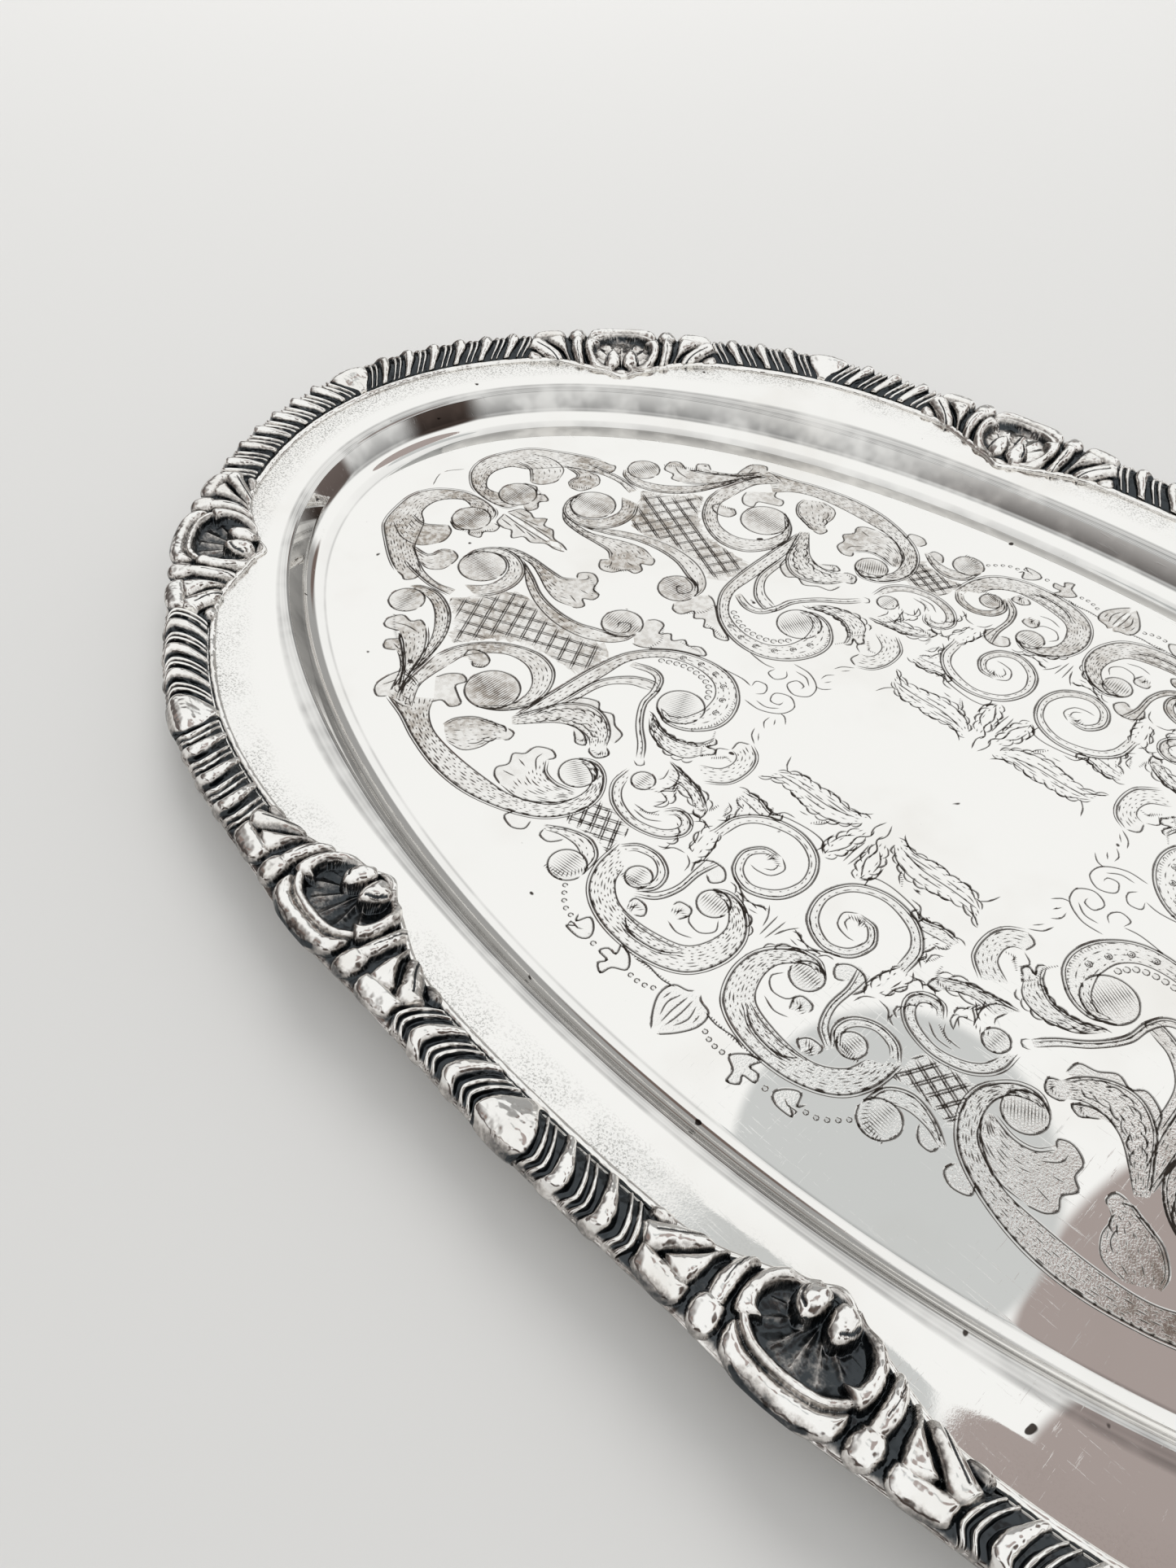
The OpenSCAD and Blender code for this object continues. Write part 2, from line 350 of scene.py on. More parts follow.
def cast_silver():
    """Cast border silver: bright on the high places, black oxide in the low ones.

    Painted shade darkens the slopes, the steep outer faces and the undersides too.
    """
    n = Nodes(bpy.data.materials.new("cast_silver"))
    # low holds black oxide in the recesses and painted shade on the slopes, outer faces and
    # undersides
    low = n.attribute("low")
    cloud = n.noise(90, 3, 0.55)
    fine = n.noise(1100, 3, 0.6)
    oxide_and_shade = n.plus(low, n.ramp(cloud, 0.3, 0.7, -0.14, 0.14))
    oxide_and_shade = n.plus(oxide_and_shade, n.ramp(fine, 0.3, 0.7, -0.08, 0.08))
    # brown on the half-dark places: partly a stain, partly a painted brown reflection on the flanks
    brown_stain_and_shade = n.ramp(oxide_and_shade, 0.2, 0.6, 0.0, 0.55)
    oxide_and_shade = n.ramp(oxide_and_shade, 0.3, 0.86)
    colour = n.mix(n.ramp(cloud, 0.42, 0.8, 0.0, 0.3), SILVER, TARNISH)
    colour = n.mix(brown_stain_and_shade, colour, STAIN_AND_SHADE_BROWN)
    # the near-black is oxide in the recesses and painted shade on the outer faces
    colour = n.mix(oxide_and_shade, colour, OXIDE_AND_SHADE_COLOUR)
    n.put(n.shader.inputs["Base Color"], colour)
    rough = n.plus(n.ramp(fine, 0.3, 0.7, 0.09, 0.17), n.times(oxide_and_shade, 0.1))
    n.put(n.shader.inputs["Roughness"], rough)
    n.shader.inputs["Metallic"].default_value = 1.0
    uneven = n.bump(n.noise(240, 2, 0.5), UNEVEN, 0.7)
    n.put(n.shader.inputs["Normal"], n.bump(fine, CAST_GRAIN, 0.6, uneven))
    return n.owner


SHEET_SILVER, CAST_SILVER = sheet_silver(), cast_silver()

# ---------------------------------------------------------------- chasing
# One quarter of the pattern, the one with x and y below nought; the other three mirror it. A line
# is written x, y, x, y... in millimetres, and the minus signs are left out.
# A form is two edges that run the same way, the tip that joins their ends, and how many broken
# cuts follow the form between them.
FORMS = (
    # end scroll and its leaves
    ((141, 5, 143.5, 1.6, 150, 0.5, 157, 2, 163, 7, 165, 13, 163.5, 20, 160, 27, 153, 32, 146, 36,
     141, 38), (149, 5.5, 151, 4.5, 154, 4.5, 157.4, 8, 158.4, 12, 157, 16.5, 153, 19.2, 150, 23,
     146, 28, 141, 31, 136, 34), (141, 38, 138.6, 38.2, 136.8, 38.8, 135.4, 36.6, 136, 34), 9),
    ((158, 19, 153, 19.6, 149.8, 17.5, 147.5, 15.2), (159, 25, 152, 27.8, 146, 26.8, 143, 22.5),
     (147.5, 15.2, 144.6, 16.6, 142.9, 20, 143, 22.5), 6),
    ((147, 28, 141, 27.5, 140.2, 23.5, 138, 21.6), (141, 31, 136.5, 31.5, 133.6, 29, 133.4, 26),
     (138, 21.6, 134.8, 22.6, 133.4, 26), 4),
    # scroll round the second disc, its trumpet leaf and its long stem
    ((133.2, 23, 133.8, 17, 130.5, 12, 124.5, 10.8, 118.5, 13.5, 115.6, 19, 116, 25, 119, 30),
     (131.8, 16.5, 130.5, 15, 128.5, 13.9, 125.5, 13.8, 122, 16, 120, 20.5, 120.8, 25, 124.5, 29),
     (), 5),
    ((131, 12, 127, 9.2, 121, 8.3, 114, 8.5, 109.5, 8.3, 106.6, 6), (124, 10.6, 119, 10.6, 114,
     12.5, 109, 14.8, 104, 16, 99.5, 15), (106.6, 6, 108, 4, 105.6, 1.5, 102.4, 2.6, 100.6, 6, 98,
     6.6, 97.6, 9, 99.8, 10.7, 97.4, 12.4, 98.2, 14.4, 99.5, 15), 7),
    ((122, 10.9, 115, 13.8, 108, 17.2, 101, 18.6, 94, 18.2, 88, 15.9, 84, 14.6, 82.2, 12.4), (118.5,
     13.6, 113, 17.6, 106, 20.8, 98, 22.4, 90, 21.6, 84, 18.6, 81, 14.8, 80.4, 10.6), (), 3),
    # lower edge of the end group, with the small disc's stem
    ((143, 33.6, 138, 34.6, 131, 35.2, 124, 34.4), (141, 30.8, 136, 33, 130, 33.6, 124.5, 32), (),
     2),
    ((134, 39.5, 131.5, 37, 126, 36, 119, 38.6, 113.5, 44, 110, 51, 107.5, 60), (129, 39, 125, 39.6,
     120, 42.5, 115, 47.5, 111.5, 53, 108, 61), (), 5),
    # ragged leaf
    ((104, 67, 107, 62, 110.5, 55, 114.5, 50, 118.5, 46.8), (106, 68, 109, 61.6, 112.5, 58.6, 117,
     55, 121.5, 52.6), (118.5, 46.8, 121.4, 46.2, 122.6, 48.2, 126, 48.2, 127.4, 51.6, 125.6, 54,
     121.5, 52.6), 5),
    ((105, 66, 111, 60, 116, 56.4, 121.2, 53.2), (106, 68, 110, 61.8, 113, 59.2, 116.4, 57.6),
     (121.2, 53.2, 119.4, 54.2, 121.2, 57, 119.2, 59.2, 116.4, 57.6), 3),
    ((103, 62, 106, 61.4, 108.4, 61.6, 110, 61.4), (98, 68, 101, 69, 105, 69.2), (110, 61.4, 110.6,
     65, 110, 69, 107, 71, 105, 69.2), 5),
    # ring band round the third disc
    ((108.6, 52, 107.6, 46, 103.6, 39.5, 97.5, 35, 91, 33.2, 84.6, 35, 80.6, 40.5, 79.8, 47, 83, 53,
     88.5, 57), (103.6, 52, 103.6, 47, 100.6, 42.2, 96.6, 39, 92, 38.2, 88, 39.4, 84.6, 42.4, 83,
     46.6, 83.6, 51, 87.6, 55.6), (), 5),
    ((108.4, 52, 107, 58, 105.4, 64, 102, 68.6), (103.6, 52, 103.6, 57, 102.6, 62, 98, 68), (), 5),
    # long lower band that curls into the fourth disc
    ((105, 69.2, 98, 70.8, 90, 73.6, 80, 75.8, 70, 75.8, 60, 73, 52.6, 68.6, 48.6, 62, 48.6, 56, 52,
     51, 56.4, 49.4, 60, 51.6), (97, 62, 94, 66, 88.4, 69, 80, 70.2, 70, 70.2, 62, 69.4, 56.4, 66.4,
     52.6, 62, 51.6, 57.4, 53, 53.4, 56, 51.6, 58.4, 51.4), (), 8),
    ((89, 66, 88.6, 62.6, 85.8, 59, 82, 57.4, 78, 56), (84, 69, 79.6, 68, 77.6, 64.6, 77.4, 61, 76,
     59.4), (78, 56, 75.6, 56.2, 75, 58.4, 76, 59.4), 6),
    ((52.8, 58.8, 58, 60.2, 62, 59.4, 64.5, 56.5), (51.6, 60, 54, 65, 60, 68.6, 66, 69), (64.5,
     56.5, 63.6, 54.6, 66, 53.6, 69, 55.4, 69.2, 58.6, 71, 60.6, 69.4, 63.4, 70.4, 66, 69, 68, 66,
     69), 11),
    # acanthus that leans into the middle
    ((80, 53, 77.4, 46, 74.8, 40.6, 70.4, 37, 65.6, 37, 61, 39.8, 58, 44), (78, 54.6, 75, 50.6,
     71.4, 46.6, 68, 44.8, 65, 44.4, 62.6, 45, 60.6, 46.6), (58, 44, 56, 45.4, 57.2, 48, 59.8, 47.8,
     60.6, 46.6), 8),
    # tall stem and beaded scroll
    ((80, 52, 79.8, 40, 79.2, 26, 77, 16.4, 70.4, 8.6, 62, 5, 54, 5.4, 48, 9.6, 44.8, 16, 45.2, 22,
     49.4, 27, 54.6, 28.4, 59, 26), (77.2, 50, 76, 40, 75.4, 28, 74.8, 19, 70, 12, 63, 9.2, 56.4,
     9.8, 52.6, 13, 51.2, 17.6, 51.4, 20.6, 52.6, 24, 55, 26, 58, 25.6), (), 4),
    ((76, 41, 75.2, 30, 71, 23, 66, 20.2, 63.6, 20.6), (74, 40, 73, 30.4, 69.4, 25.4, 65.6, 23.6,
     63.8, 23), (63.6, 20.6, 62.6, 21.8, 63.8, 23), 2),
    ((74, 18.8, 69, 16.8, 65, 17.8, 62.6, 22, 61.4, 27.4, 57.6, 32.6, 52.6, 37, 49.6, 40.6), (73.6,
     20.6, 69, 18.8, 66, 19.4, 64, 23, 62.8, 28, 58.8, 33.6, 54, 38, 51, 41.6), (), 1),
    ((58.4, 28.2, 53, 30.6, 48, 30.4, 44.4, 27.6, 43, 24), (58, 30, 54, 33.6, 48, 35, 43.4, 33.4,
     41.2, 29.4), (43, 24, 41.6, 25, 42.4, 27.4, 40.6, 26.6, 39.8, 28, 41.2, 29.4), 6),
    # middle scrolls
    ((25, 45.6, 24.2, 38.6, 19.2, 33.4, 11.4, 31.8, 4.4, 35, 1.4, 42, 3.4, 49, 9.4, 52.4, 15, 50.4,
     17, 45, 14.4, 40.6, 10, 40.2), (22.6, 45.4, 21.8, 39.4, 18.4, 35.8, 11.6, 34, 5.8, 36.6, 3.4,
     42, 5.2, 47.4, 9.6, 50.2, 13.4, 48.8, 15, 44.8, 13, 41.8, 10.4, 41.6), (), 2),
    ((36, 62, 35, 70, 31, 76, 23, 79.4, 13, 79.4, 5, 76, 1.4, 69, 2, 62, 6, 57, 11, 55.4, 14.6,
     57.6), (31, 66, 29.6, 70, 26, 73, 21.6, 74, 15, 73.4, 9, 71.4, 6.4, 67, 6.2, 62.4, 8.4, 59, 11,
     57.4, 13, 58), (), 8),
    ((36, 62.4, 33, 59, 28, 58.2, 23.6, 60.6, 22.4, 65, 25, 69), (33.6, 62.6, 32, 60.8, 28.4, 60,
     25.4, 61.8, 24.4, 64.8, 26, 67.6), (), 2),
    ((49.6, 45, 49, 50.6, 45, 54.8, 38.4, 56.4, 31.8, 54.6, 28.6, 50.4, 30, 46.8, 33.8, 46.2, 36,
     49), (47.8, 47.6, 46.4, 51, 43.4, 53.4, 38.4, 54.6, 33, 53, 30.6, 50, 31.4, 48, 33.6, 47.8,
     34.6, 49.2), (), 2),
    ((17.6, 50.6, 18.8, 56, 18.8, 62, 20.6, 67, 24.6, 70), (20.6, 51, 20.4, 56, 20.2, 61.4, 21.6,
     65.4, 24.4, 68.4), (), 1),
    ((51, 70, 46, 66.8, 41, 65.6, 36.8, 68, 35.4, 73), (50, 71, 46.6, 69.4, 42.6, 69, 40, 69.8,
     38.4, 70.4), (), 3),
    ((22, 76, 18, 77, 12, 76, 8, 73), (24, 74.2, 18, 74.6, 12, 73.6, 8, 72), (), 2),
    # leaves round the blank middle
    ((36, 36, 31.8, 32, 31, 26.4, 32.6, 22, 36, 19.6), (40, 33, 36, 30.4, 35, 27, 36, 24.6, 38, 24),
     (36, 19.6, 38.4, 21, 38, 24), 5),
    ((45, 36.6, 39, 37.4, 34, 38.8, 29.6, 41.6), (42, 41, 38, 40.4, 34.6, 41.4, 32, 43.4), (29.6,
     41.6, 29.2, 44.2, 31, 44.6, 32, 43.4), 4),
    ((28, 31.4, 24, 30.8, 19.8, 32, 17.6, 30.6), (27.4, 33.6, 24, 34, 21, 34.4, 19.4, 33.4), (17.6,
     30.6, 17, 32.6, 19.4, 33.4), 2),
)
# Lobes are cut round and matted inside
LOBES = (
    (141, 0.5, 139.6, 4.4, 136.4, 5, 134, 4.2, 131.4, 6.4, 129.6, 3.8, 126.4, 4, 123.4, 1.6, 120,
     1.4, 117, 0.4),
    (139.8, 5.6, 137.6, 5.4, 136.8, 8, 138.6, 10.2, 137.4, 12.6, 140.4, 13.8, 142, 12.6, 144.6,
     14.8, 148.6, 13.6),
    (103.6, 47.4, 104.4, 44.6, 101.4, 42.8, 98, 43.8, 97.4, 46.4, 99.4, 47.8, 101, 46.8),
    (102.4, 57, 101.4, 54, 99, 51.8, 96.4, 52.6, 97, 55.4, 94, 57.2, 91.4, 58.6, 92.4, 61, 95.4, 61,
     96.6, 63.4),
    (70, 45.4, 68, 44.6, 65.4, 44.6, 63.4, 45.4, 61.8, 47, 63.8, 48, 65.4, 46.8, 67, 45.6),
    (75, 40.6, 73.8, 37, 70, 34.8, 67.6, 36.6, 64.6, 35.4, 61.6, 37.6, 58.4, 38.6, 57.6, 42),
    (82.6, 5, 81, 3, 78.4, 3.2, 77, 6.4, 75, 4.4, 73, 6, 71, 3.6, 69, 4.6, 66.4, 2.8, 63.6, 4.4, 70,
     8, 76, 13, 79, 14),
    (58, 71.8, 58.6, 74.4, 55.4, 75.4, 53, 73.8, 53.6, 71.2),
    (50, 70.8, 49.4, 72.6, 47, 72.6, 45.6, 71, 45, 69.6),
    (29, 81, 28, 82.6, 26.8, 80, 24.4, 81.4, 23.4, 83.6, 25, 85, 28.6, 84.8, 27, 83.4),
    (18, 80, 15, 81, 13, 83.6, 15.4, 85.4, 16, 87.8, 18, 86.6, 17.2, 84.8, 19.8, 84.4, 19, 82.6, 17,
     82.6, 18, 80),
    (0.3, 77, 1.6, 78.6, 4.4, 79.6, 5, 83, 3.2, 86.8, 0.3, 90.4),
    (20.6, 57, 21.6, 54, 19.6, 51.6, 16.4, 51.4, 14.4, 53.6, 16, 56, 18, 55),
    (24, 72, 23.8, 70, 21, 70, 19.6, 72, 21.4, 73.4),
    (17.4, 66, 17, 64.2, 14.4, 63.8, 13.4, 65.4, 14.4, 68),
)
# Single cuts: veins, spirals and the loose leaf edges round the blank middle
CUTS = (
    (168, 0.5, 167.4, 2.4, 165, 6), (141, 0.6, 134, 1, 123, 0.8), (140, 2.6, 135, 3),
    (136, 1.6, 130, 2.6), (131, 1.6, 126, 2.2), (147, 28, 141, 31),
    (85.4, 12.6, 86.6, 10.6, 84.4, 9, 82.8, 11.4, 84.4, 14, 88, 15),
    (106, 6.4, 104.6, 4, 105.8, 2.8), (103, 8.6, 100, 8.4), (103, 12, 99.6, 13),
    (118, 49.6, 122, 50, 125, 51.6), (116, 57, 119, 56.6), (108, 64, 109, 68),
    (66.4, 55.6, 66.2, 58, 63.4, 60.6), (69, 60.8, 66, 61.4), (69, 65.8, 65.4, 65),
    (57, 4.6, 52, 4, 48.6, 4.6), (48.6, 4.6, 49, 2.2, 46.4, 1.6, 45, 4, 46.4, 6),
    (47, 9.2, 42, 9.2, 37.8, 6.6, 37, 2.8, 40, 0.6, 43.2, 2.2, 42.4, 5, 40, 4.6, 40, 3),
    (45, 7.4, 41.6, 7.4, 39, 5.4), (38.4, 6.6, 36.4, 7, 34.6, 9), (37.6, 9, 36.4, 11),
    (38.8, 9.4, 38.8, 11.6, 37.2, 13.4), (39, 14.6, 38, 17, 35.4, 19), (37.4, 15.2, 35.6, 17.6),
    (38, 24.2, 40.4, 26, 39, 28.4), (45.2, 36.8, 41, 38.4, 39.6, 41.6, 40.4, 45),
    (43.6, 38.6, 42.6, 41.6, 43.4, 43), (40.4, 45, 37.6, 46, 38.4, 49.6),
    (42, 51.8, 38, 51.4, 36.4, 49), (41, 53, 37, 53, 34, 51),
    (49.6, 40.6, 48.4, 41.8, 49.4, 43, 51, 42.4), (27.4, 15.6, 26.4, 18.4, 24.6, 20.4),
    (24.6, 20.6, 21.6, 18.4, 18.8, 18.4), (17.6, 18.8, 14.6, 17.8, 12, 18.4),
    (12, 18.6, 8, 19, 5, 17.4, 4, 16), (28.6, 26, 26.4, 24, 23.8, 23.4),
    (21.6, 24, 18.4, 24.8, 15, 25.6), (15, 25, 10.6, 24.8, 7, 23.4, 4.6, 21),
    (26, 22, 20, 21.6, 12, 21.6, 6, 20), (22, 20.4, 17, 20.2), (14, 20.2, 8, 20.4),
    (18, 23, 12, 23.2), (27, 24.6, 24, 22), (11.4, 28.4, 9.8, 26.4, 9.4, 24.6),
    (19, 32.6, 17.6, 30, 14.8, 29.6), (16, 27.4, 13.4, 27), (0.6, 16, 1.6, 19.4, 0.8, 22),
    (0.6, 22, 2.6, 24.4, 2.4, 28, 4.6, 32.6), (3, 24, 5, 26.4, 5.6, 30),
    (6.4, 27, 6.6, 31, 4.6, 33.4), (0.5, 24, 0.8, 28, 0.6, 32), (1.4, 26, 1.6, 30),
    (29.6, 46.4, 28, 44.8, 25.4, 45.4), (27, 47, 25.6, 50, 25.2, 53),
    (29, 57, 27.4, 54.6, 24.6, 54), (24.4, 54, 22.4, 55.4, 21.6, 58),
    (26.4, 42.4, 24.8, 40.6, 25.6, 38.6), (28, 36.6, 26, 38, 26.2, 41),
    (10, 40.2, 7.6, 42.4, 8.6, 45.6, 11.4, 46.6, 13.6, 46.4), (9.4, 41.8, 9.2, 44, 11, 45.4),
    (8.6, 62, 7.2, 64.6, 9.2, 67, 12.4, 66.6, 13.6, 64.6), (15.6, 69.4, 12.4, 70.2, 9, 69),
    (23.4, 44.6, 21.6, 49, 20.8, 53.4), (22.4, 74.6, 20, 76.4, 17, 77),
    (13.2, 51.4, 8, 54, 3, 52.6), (4, 51.6, 2.4, 54, 1.4, 57), (1, 52.4, 0.8, 56, 0.6, 59),
    (28.4, 84.8, 28.6, 83.4, 26.6, 83.6, 25.4, 82.8), (1.8, 80, 2.6, 83.4, 1.6, 86.6),
    (0.6, 79.6, 0.8, 84, 0.5, 87.6), (3.6, 81, 3.8, 83.6), (3.6, 79.8, 7, 80.4, 11, 80, 14, 80.8),
    (6.4, 34, 6.2, 31, 10, 30, 16, 30.8, 19.6, 32.4),
)
# Discs as centre, radius and the slant of their hatching
DISCS = (
    (145.5, 8.6, 5.3, 0), (127.4, 20.4, 6.3, 80), (86, 10.3, 5.2, 100), (130, 43.6, 4.6, 20),
    (90, 50, 6.6, 90), (56.8, 54.2, 4.3, 60), (55.4, 22, 5.6, 25), (12, 59.6, 3.5, 95),
    (45.2, 45.4, 2.7, 5), (39.6, 74, 4.1, 5), (27.2, 65.6, 2.9, 10),
)
# Lattices as their outline and pitch
LATTICES = (
    ((113.5, 21, 108, 20.6, 100, 22.6, 91, 22.2, 82, 19.6, 79.6, 24, 80, 31, 85, 32.4, 93, 32.4,
     100, 35, 105, 39.6, 109, 46, 113, 42.6, 118, 38, 123, 35.4, 119, 30, 116.4, 25), 3.7),
    ((48.4, 56, 43, 56.2, 37, 57.6, 36.4, 62, 36, 66, 41, 65, 46.6, 66, 49.8, 66.4, 48.6, 61), 2.6),
)
# Rows of beads as a line, how many and their radius
BEADS = (
    ((69.6, 13.4, 65, 11, 60, 10.6, 55.6, 12, 53.2, 15), 11, 0.72),
    ((36, 78, 34, 80.2, 32, 81.8, 29.8, 82.4), 5, 0.5),
    ((21.8, 84, 21.2, 84), 1, 0.55),
    ((11.6, 84, 9, 84, 6.6, 83), 4, 0.5),
    ((66.6, 8.8, 61, 7.2, 55.6, 8, 51.2, 11.4, 48.4, 17.6), 6, 0.75),
    ((66.6, 8.8, 61, 7.2, 55.6, 8, 51.2, 11.4, 48.4, 17.6), 6, 0.32),
)
# Combs of short cuts that start on a line: the line, how long the cuts are and how far apart
COMBS = (
    ((48, 11, 45.6, 16, 45.6, 21, 48.4, 26), -1.3, 0.75),
    ((20.6, 31, 19.2, 33, 17.8, 31.6), 1.2, 0.4),
    ((33, 42.6, 30.4, 43.4, 28.6, 41.4, 28.4, 39.2), 1.7, 0.5),
    ((12.6, 41, 10.4, 40.6, 8.4, 42), -3, 0.5), ((17, 66, 15.2, 64.6, 13.2, 65.4), -3, 0.5),
    ((24, 71.4, 22.4, 70, 20.4, 70.4), -4, 0.5), ((31, 67, 27, 66, 24, 66.6), -2.6, 0.5),
    ((43, 44.6, 40.6, 45), -2.6, 0.5), ((39.6, 51.8, 36, 50), -1.2, 0.4),
    ((39.6, 28.8, 37.6, 26.2, 35.4, 26.6), -1.5, 0.45), ((43.4, 28.6, 41.6, 31, 40, 29), 1.3, 0.4),
    ((44, 22.4, 42.4, 25, 42.8, 28), -1.2, 0.5), ((26.8, 33.6, 25.2, 36.2), -1.3, 0.4),
    ((26.8, 37.4, 25.4, 40.4), -1.2, 0.4), ((11.6, 28.6, 9.4, 26), 1.2, 0.45),
    ((59.6, 47.6, 57.4, 47.8, 56, 45.6), 2.2, 0.5), ((65, 47.6, 63, 47.4, 61.6, 45), 2.0, 0.5),
    ((78.4, 4, 75.6, 8.6, 75.4, 12), 1.6, 0.6), ((71, 4.4, 66, 3.4, 63.6, 4.6), -1.6, 0.6),
    ((5.4, 79.6, 11, 79.9, 17, 80), 1.0, 0.6), ((36.6, 71, 38.6, 75, 42.6, 76.8), 2.4, 0.6),
    ((97.4, 46.4, 100, 48, 103, 46.6), -1.6, 0.5), ((128, 50, 124, 53.4, 119, 56), 2.0, 0.6),
    ((98.6, 8, 100.6, 4.4, 105, 2.6), 1.8, 0.6), ((144, 15, 139, 12.8, 137.4, 8), 1.8, 0.6),
    ((134, 26, 139, 22.6), -1.8, 0.6),
)
# Leaves round the blank middle and along the stems: two ragged edges, and how many rows of
# dashes run between them
LEAVES = (
    ((26.6, 21.6, 22.6, 18.6, 18, 18.6, 12, 18.4, 7, 18.8, 3.8, 17.4), (28.6, 26, 24, 23.8, 18,
     24.6, 12, 25.8, 7.4, 24, 3.8, 20.6), 4),
    ((43.6, 36.8, 38.6, 38, 33.4, 38.4, 29, 40.6), (41, 44, 38.6, 41.8, 35.4, 42, 32, 43.2), 3),
    ((29.4, 31.6, 26, 31, 22, 31.2, 19, 33), (27.6, 34, 25, 36, 24.6, 38, 25.4, 41), 3),
    ((59.6, 28.4, 55, 30.4, 49, 30.6, 44, 28.4), (56, 31, 51, 34.4, 46, 35.4, 41.4, 33.4), 5),
    ((3.4, 22, 5.2, 25, 6, 29, 5, 33), (1.2, 20, 1.4, 24, 1.6, 29, 3.4, 34), 2),
    ((40.6, 46, 38.6, 43, 39.6, 39.6), (38.6, 49.4, 36.6, 46.4, 37.4, 43), 2),
    ((25.6, 44, 26.6, 48, 24.6, 53), (23.2, 44.6, 22, 49, 21.6, 55), 2),
    ((34, 47, 30, 44.6, 26.4, 45.6), (31, 49.8, 28.6, 53, 29.6, 57), 2),
    ((13.4, 53, 8, 54.6, 3.6, 52.8), (9, 56, 5, 57, 1.4, 60.6), 2),
    ((84, 58.6, 80, 57, 77, 56.6), (80.6, 66, 78.6, 62.6, 76.8, 60), 4),
    ((76.4, 48, 73, 42, 68, 38.6, 62, 39.4), (75.6, 50, 71.4, 45, 66.6, 42.6, 61.4, 43.6), 3),
)
# Half-widths of the cuts, how steep their sides are, and the depth at which they are fully dark
CUT_WIDE, CUT_FINE, CUT_NICK = 0.3, 0.23, 0.18
CUT_SLOPE, CUT_FULL = 0.7, 0.07
AXIS_GAP, SHORTEST_CUT, SAMPLE_STEP = 0.06, 0.3, 0.07
# A lattice's two slants in degrees, and half the width of its bars
LATTICE_SLANTS, BAR_HALF = (24, -62), 0.28


def smooth_line(points, step=0.7):
    """A Catmull-Rom curve through the points, with a point about every step millimetres."""
    p = np.array(points, float).reshape(-1, 2)
    if len(p) == 2:
        p = np.array([p[0], p.mean(0), p[1]])
    p = np.concatenate([[2 * p[0] - p[1]], p, [2 * p[-1] - p[-2]]])
    out = []
    for i in range(1, len(p) - 2):
        n = max(2, int(np.linalg.norm(p[i + 1] - p[i]) / step))
        t = np.linspace(0, 1, n, endpoint=False)[:, None]
        a, b, c, d = p[i - 1:i + 3]
        out.append(b + 0.5 * ((c - a) * t + (2 * a - 5 * b + 4 * c - d) * t ** 2
                              + (3 * b - a - 3 * c + d) * t ** 3))
    return np.concatenate(out + [p[-2:-1]])


def chased(numbers, step=0.7):
    """The curve of a line of the chased pattern."""
    return smooth_line(-np.array(numbers, float), step)


def resample(line, n):
    s = length_along(line)
    t = np.linspace(0, s[-1], n)
    return np.stack([np.interp(t, s, line[:, 0]), np.interp(t, s, line[:, 1])], -1)


def square_to(line):
    t = np.gradient(line, axis=0)
    t /= np.linalg.norm(t, axis=1)[:, None] + 1e-12
    return np.stack([-t[:, 1], t[:, 0]], -1)


def inside(points, poly):
    """Which points lie inside a polygon, by the even-odd rule."""
    x, y = points[:, :1], points[:, 1:2]
    a, b = poly, np.roll(poly, -1, axis=0)
    crosses = (a[:, 1] > y) != (b[:, 1] > y)
    rise = np.where(b[:, 1] == a[:, 1], 1, b[:, 1] - a[:, 1])
    return (crosses & (x < a[:, 0] + (y - a[:, 1]) / rise * (b[:, 0] - a[:, 0]))).sum(1) % 2 == 1


def circle(x, y, r, n):
    a = np.linspace(0, 2 * math.pi, n)
    return np.stack([x + r * np.cos(a), y + r * np.sin(a)], -1)


def spans(keep):
    """Starts and stops of the runs of points that are kept."""
    ends = np.nonzero(np.diff(np.concatenate([[0], keep, [0]])))[0]
    return zip(ends[::2], ends[1::2])


def hatching(poly, slant, pitch, reach=40):
    """Parallel lines over a polygon."""
    h = math.radians(slant)
    u, v = np.array([math.cos(h), math.sin(h)]), np.array([-math.sin(h), math.cos(h)])
    along = np.arange(-reach, reach, 0.5)[:, None]
    for off in np.arange(-reach, reach, pitch):
        yield poly.mean(0) + v * off + u * along


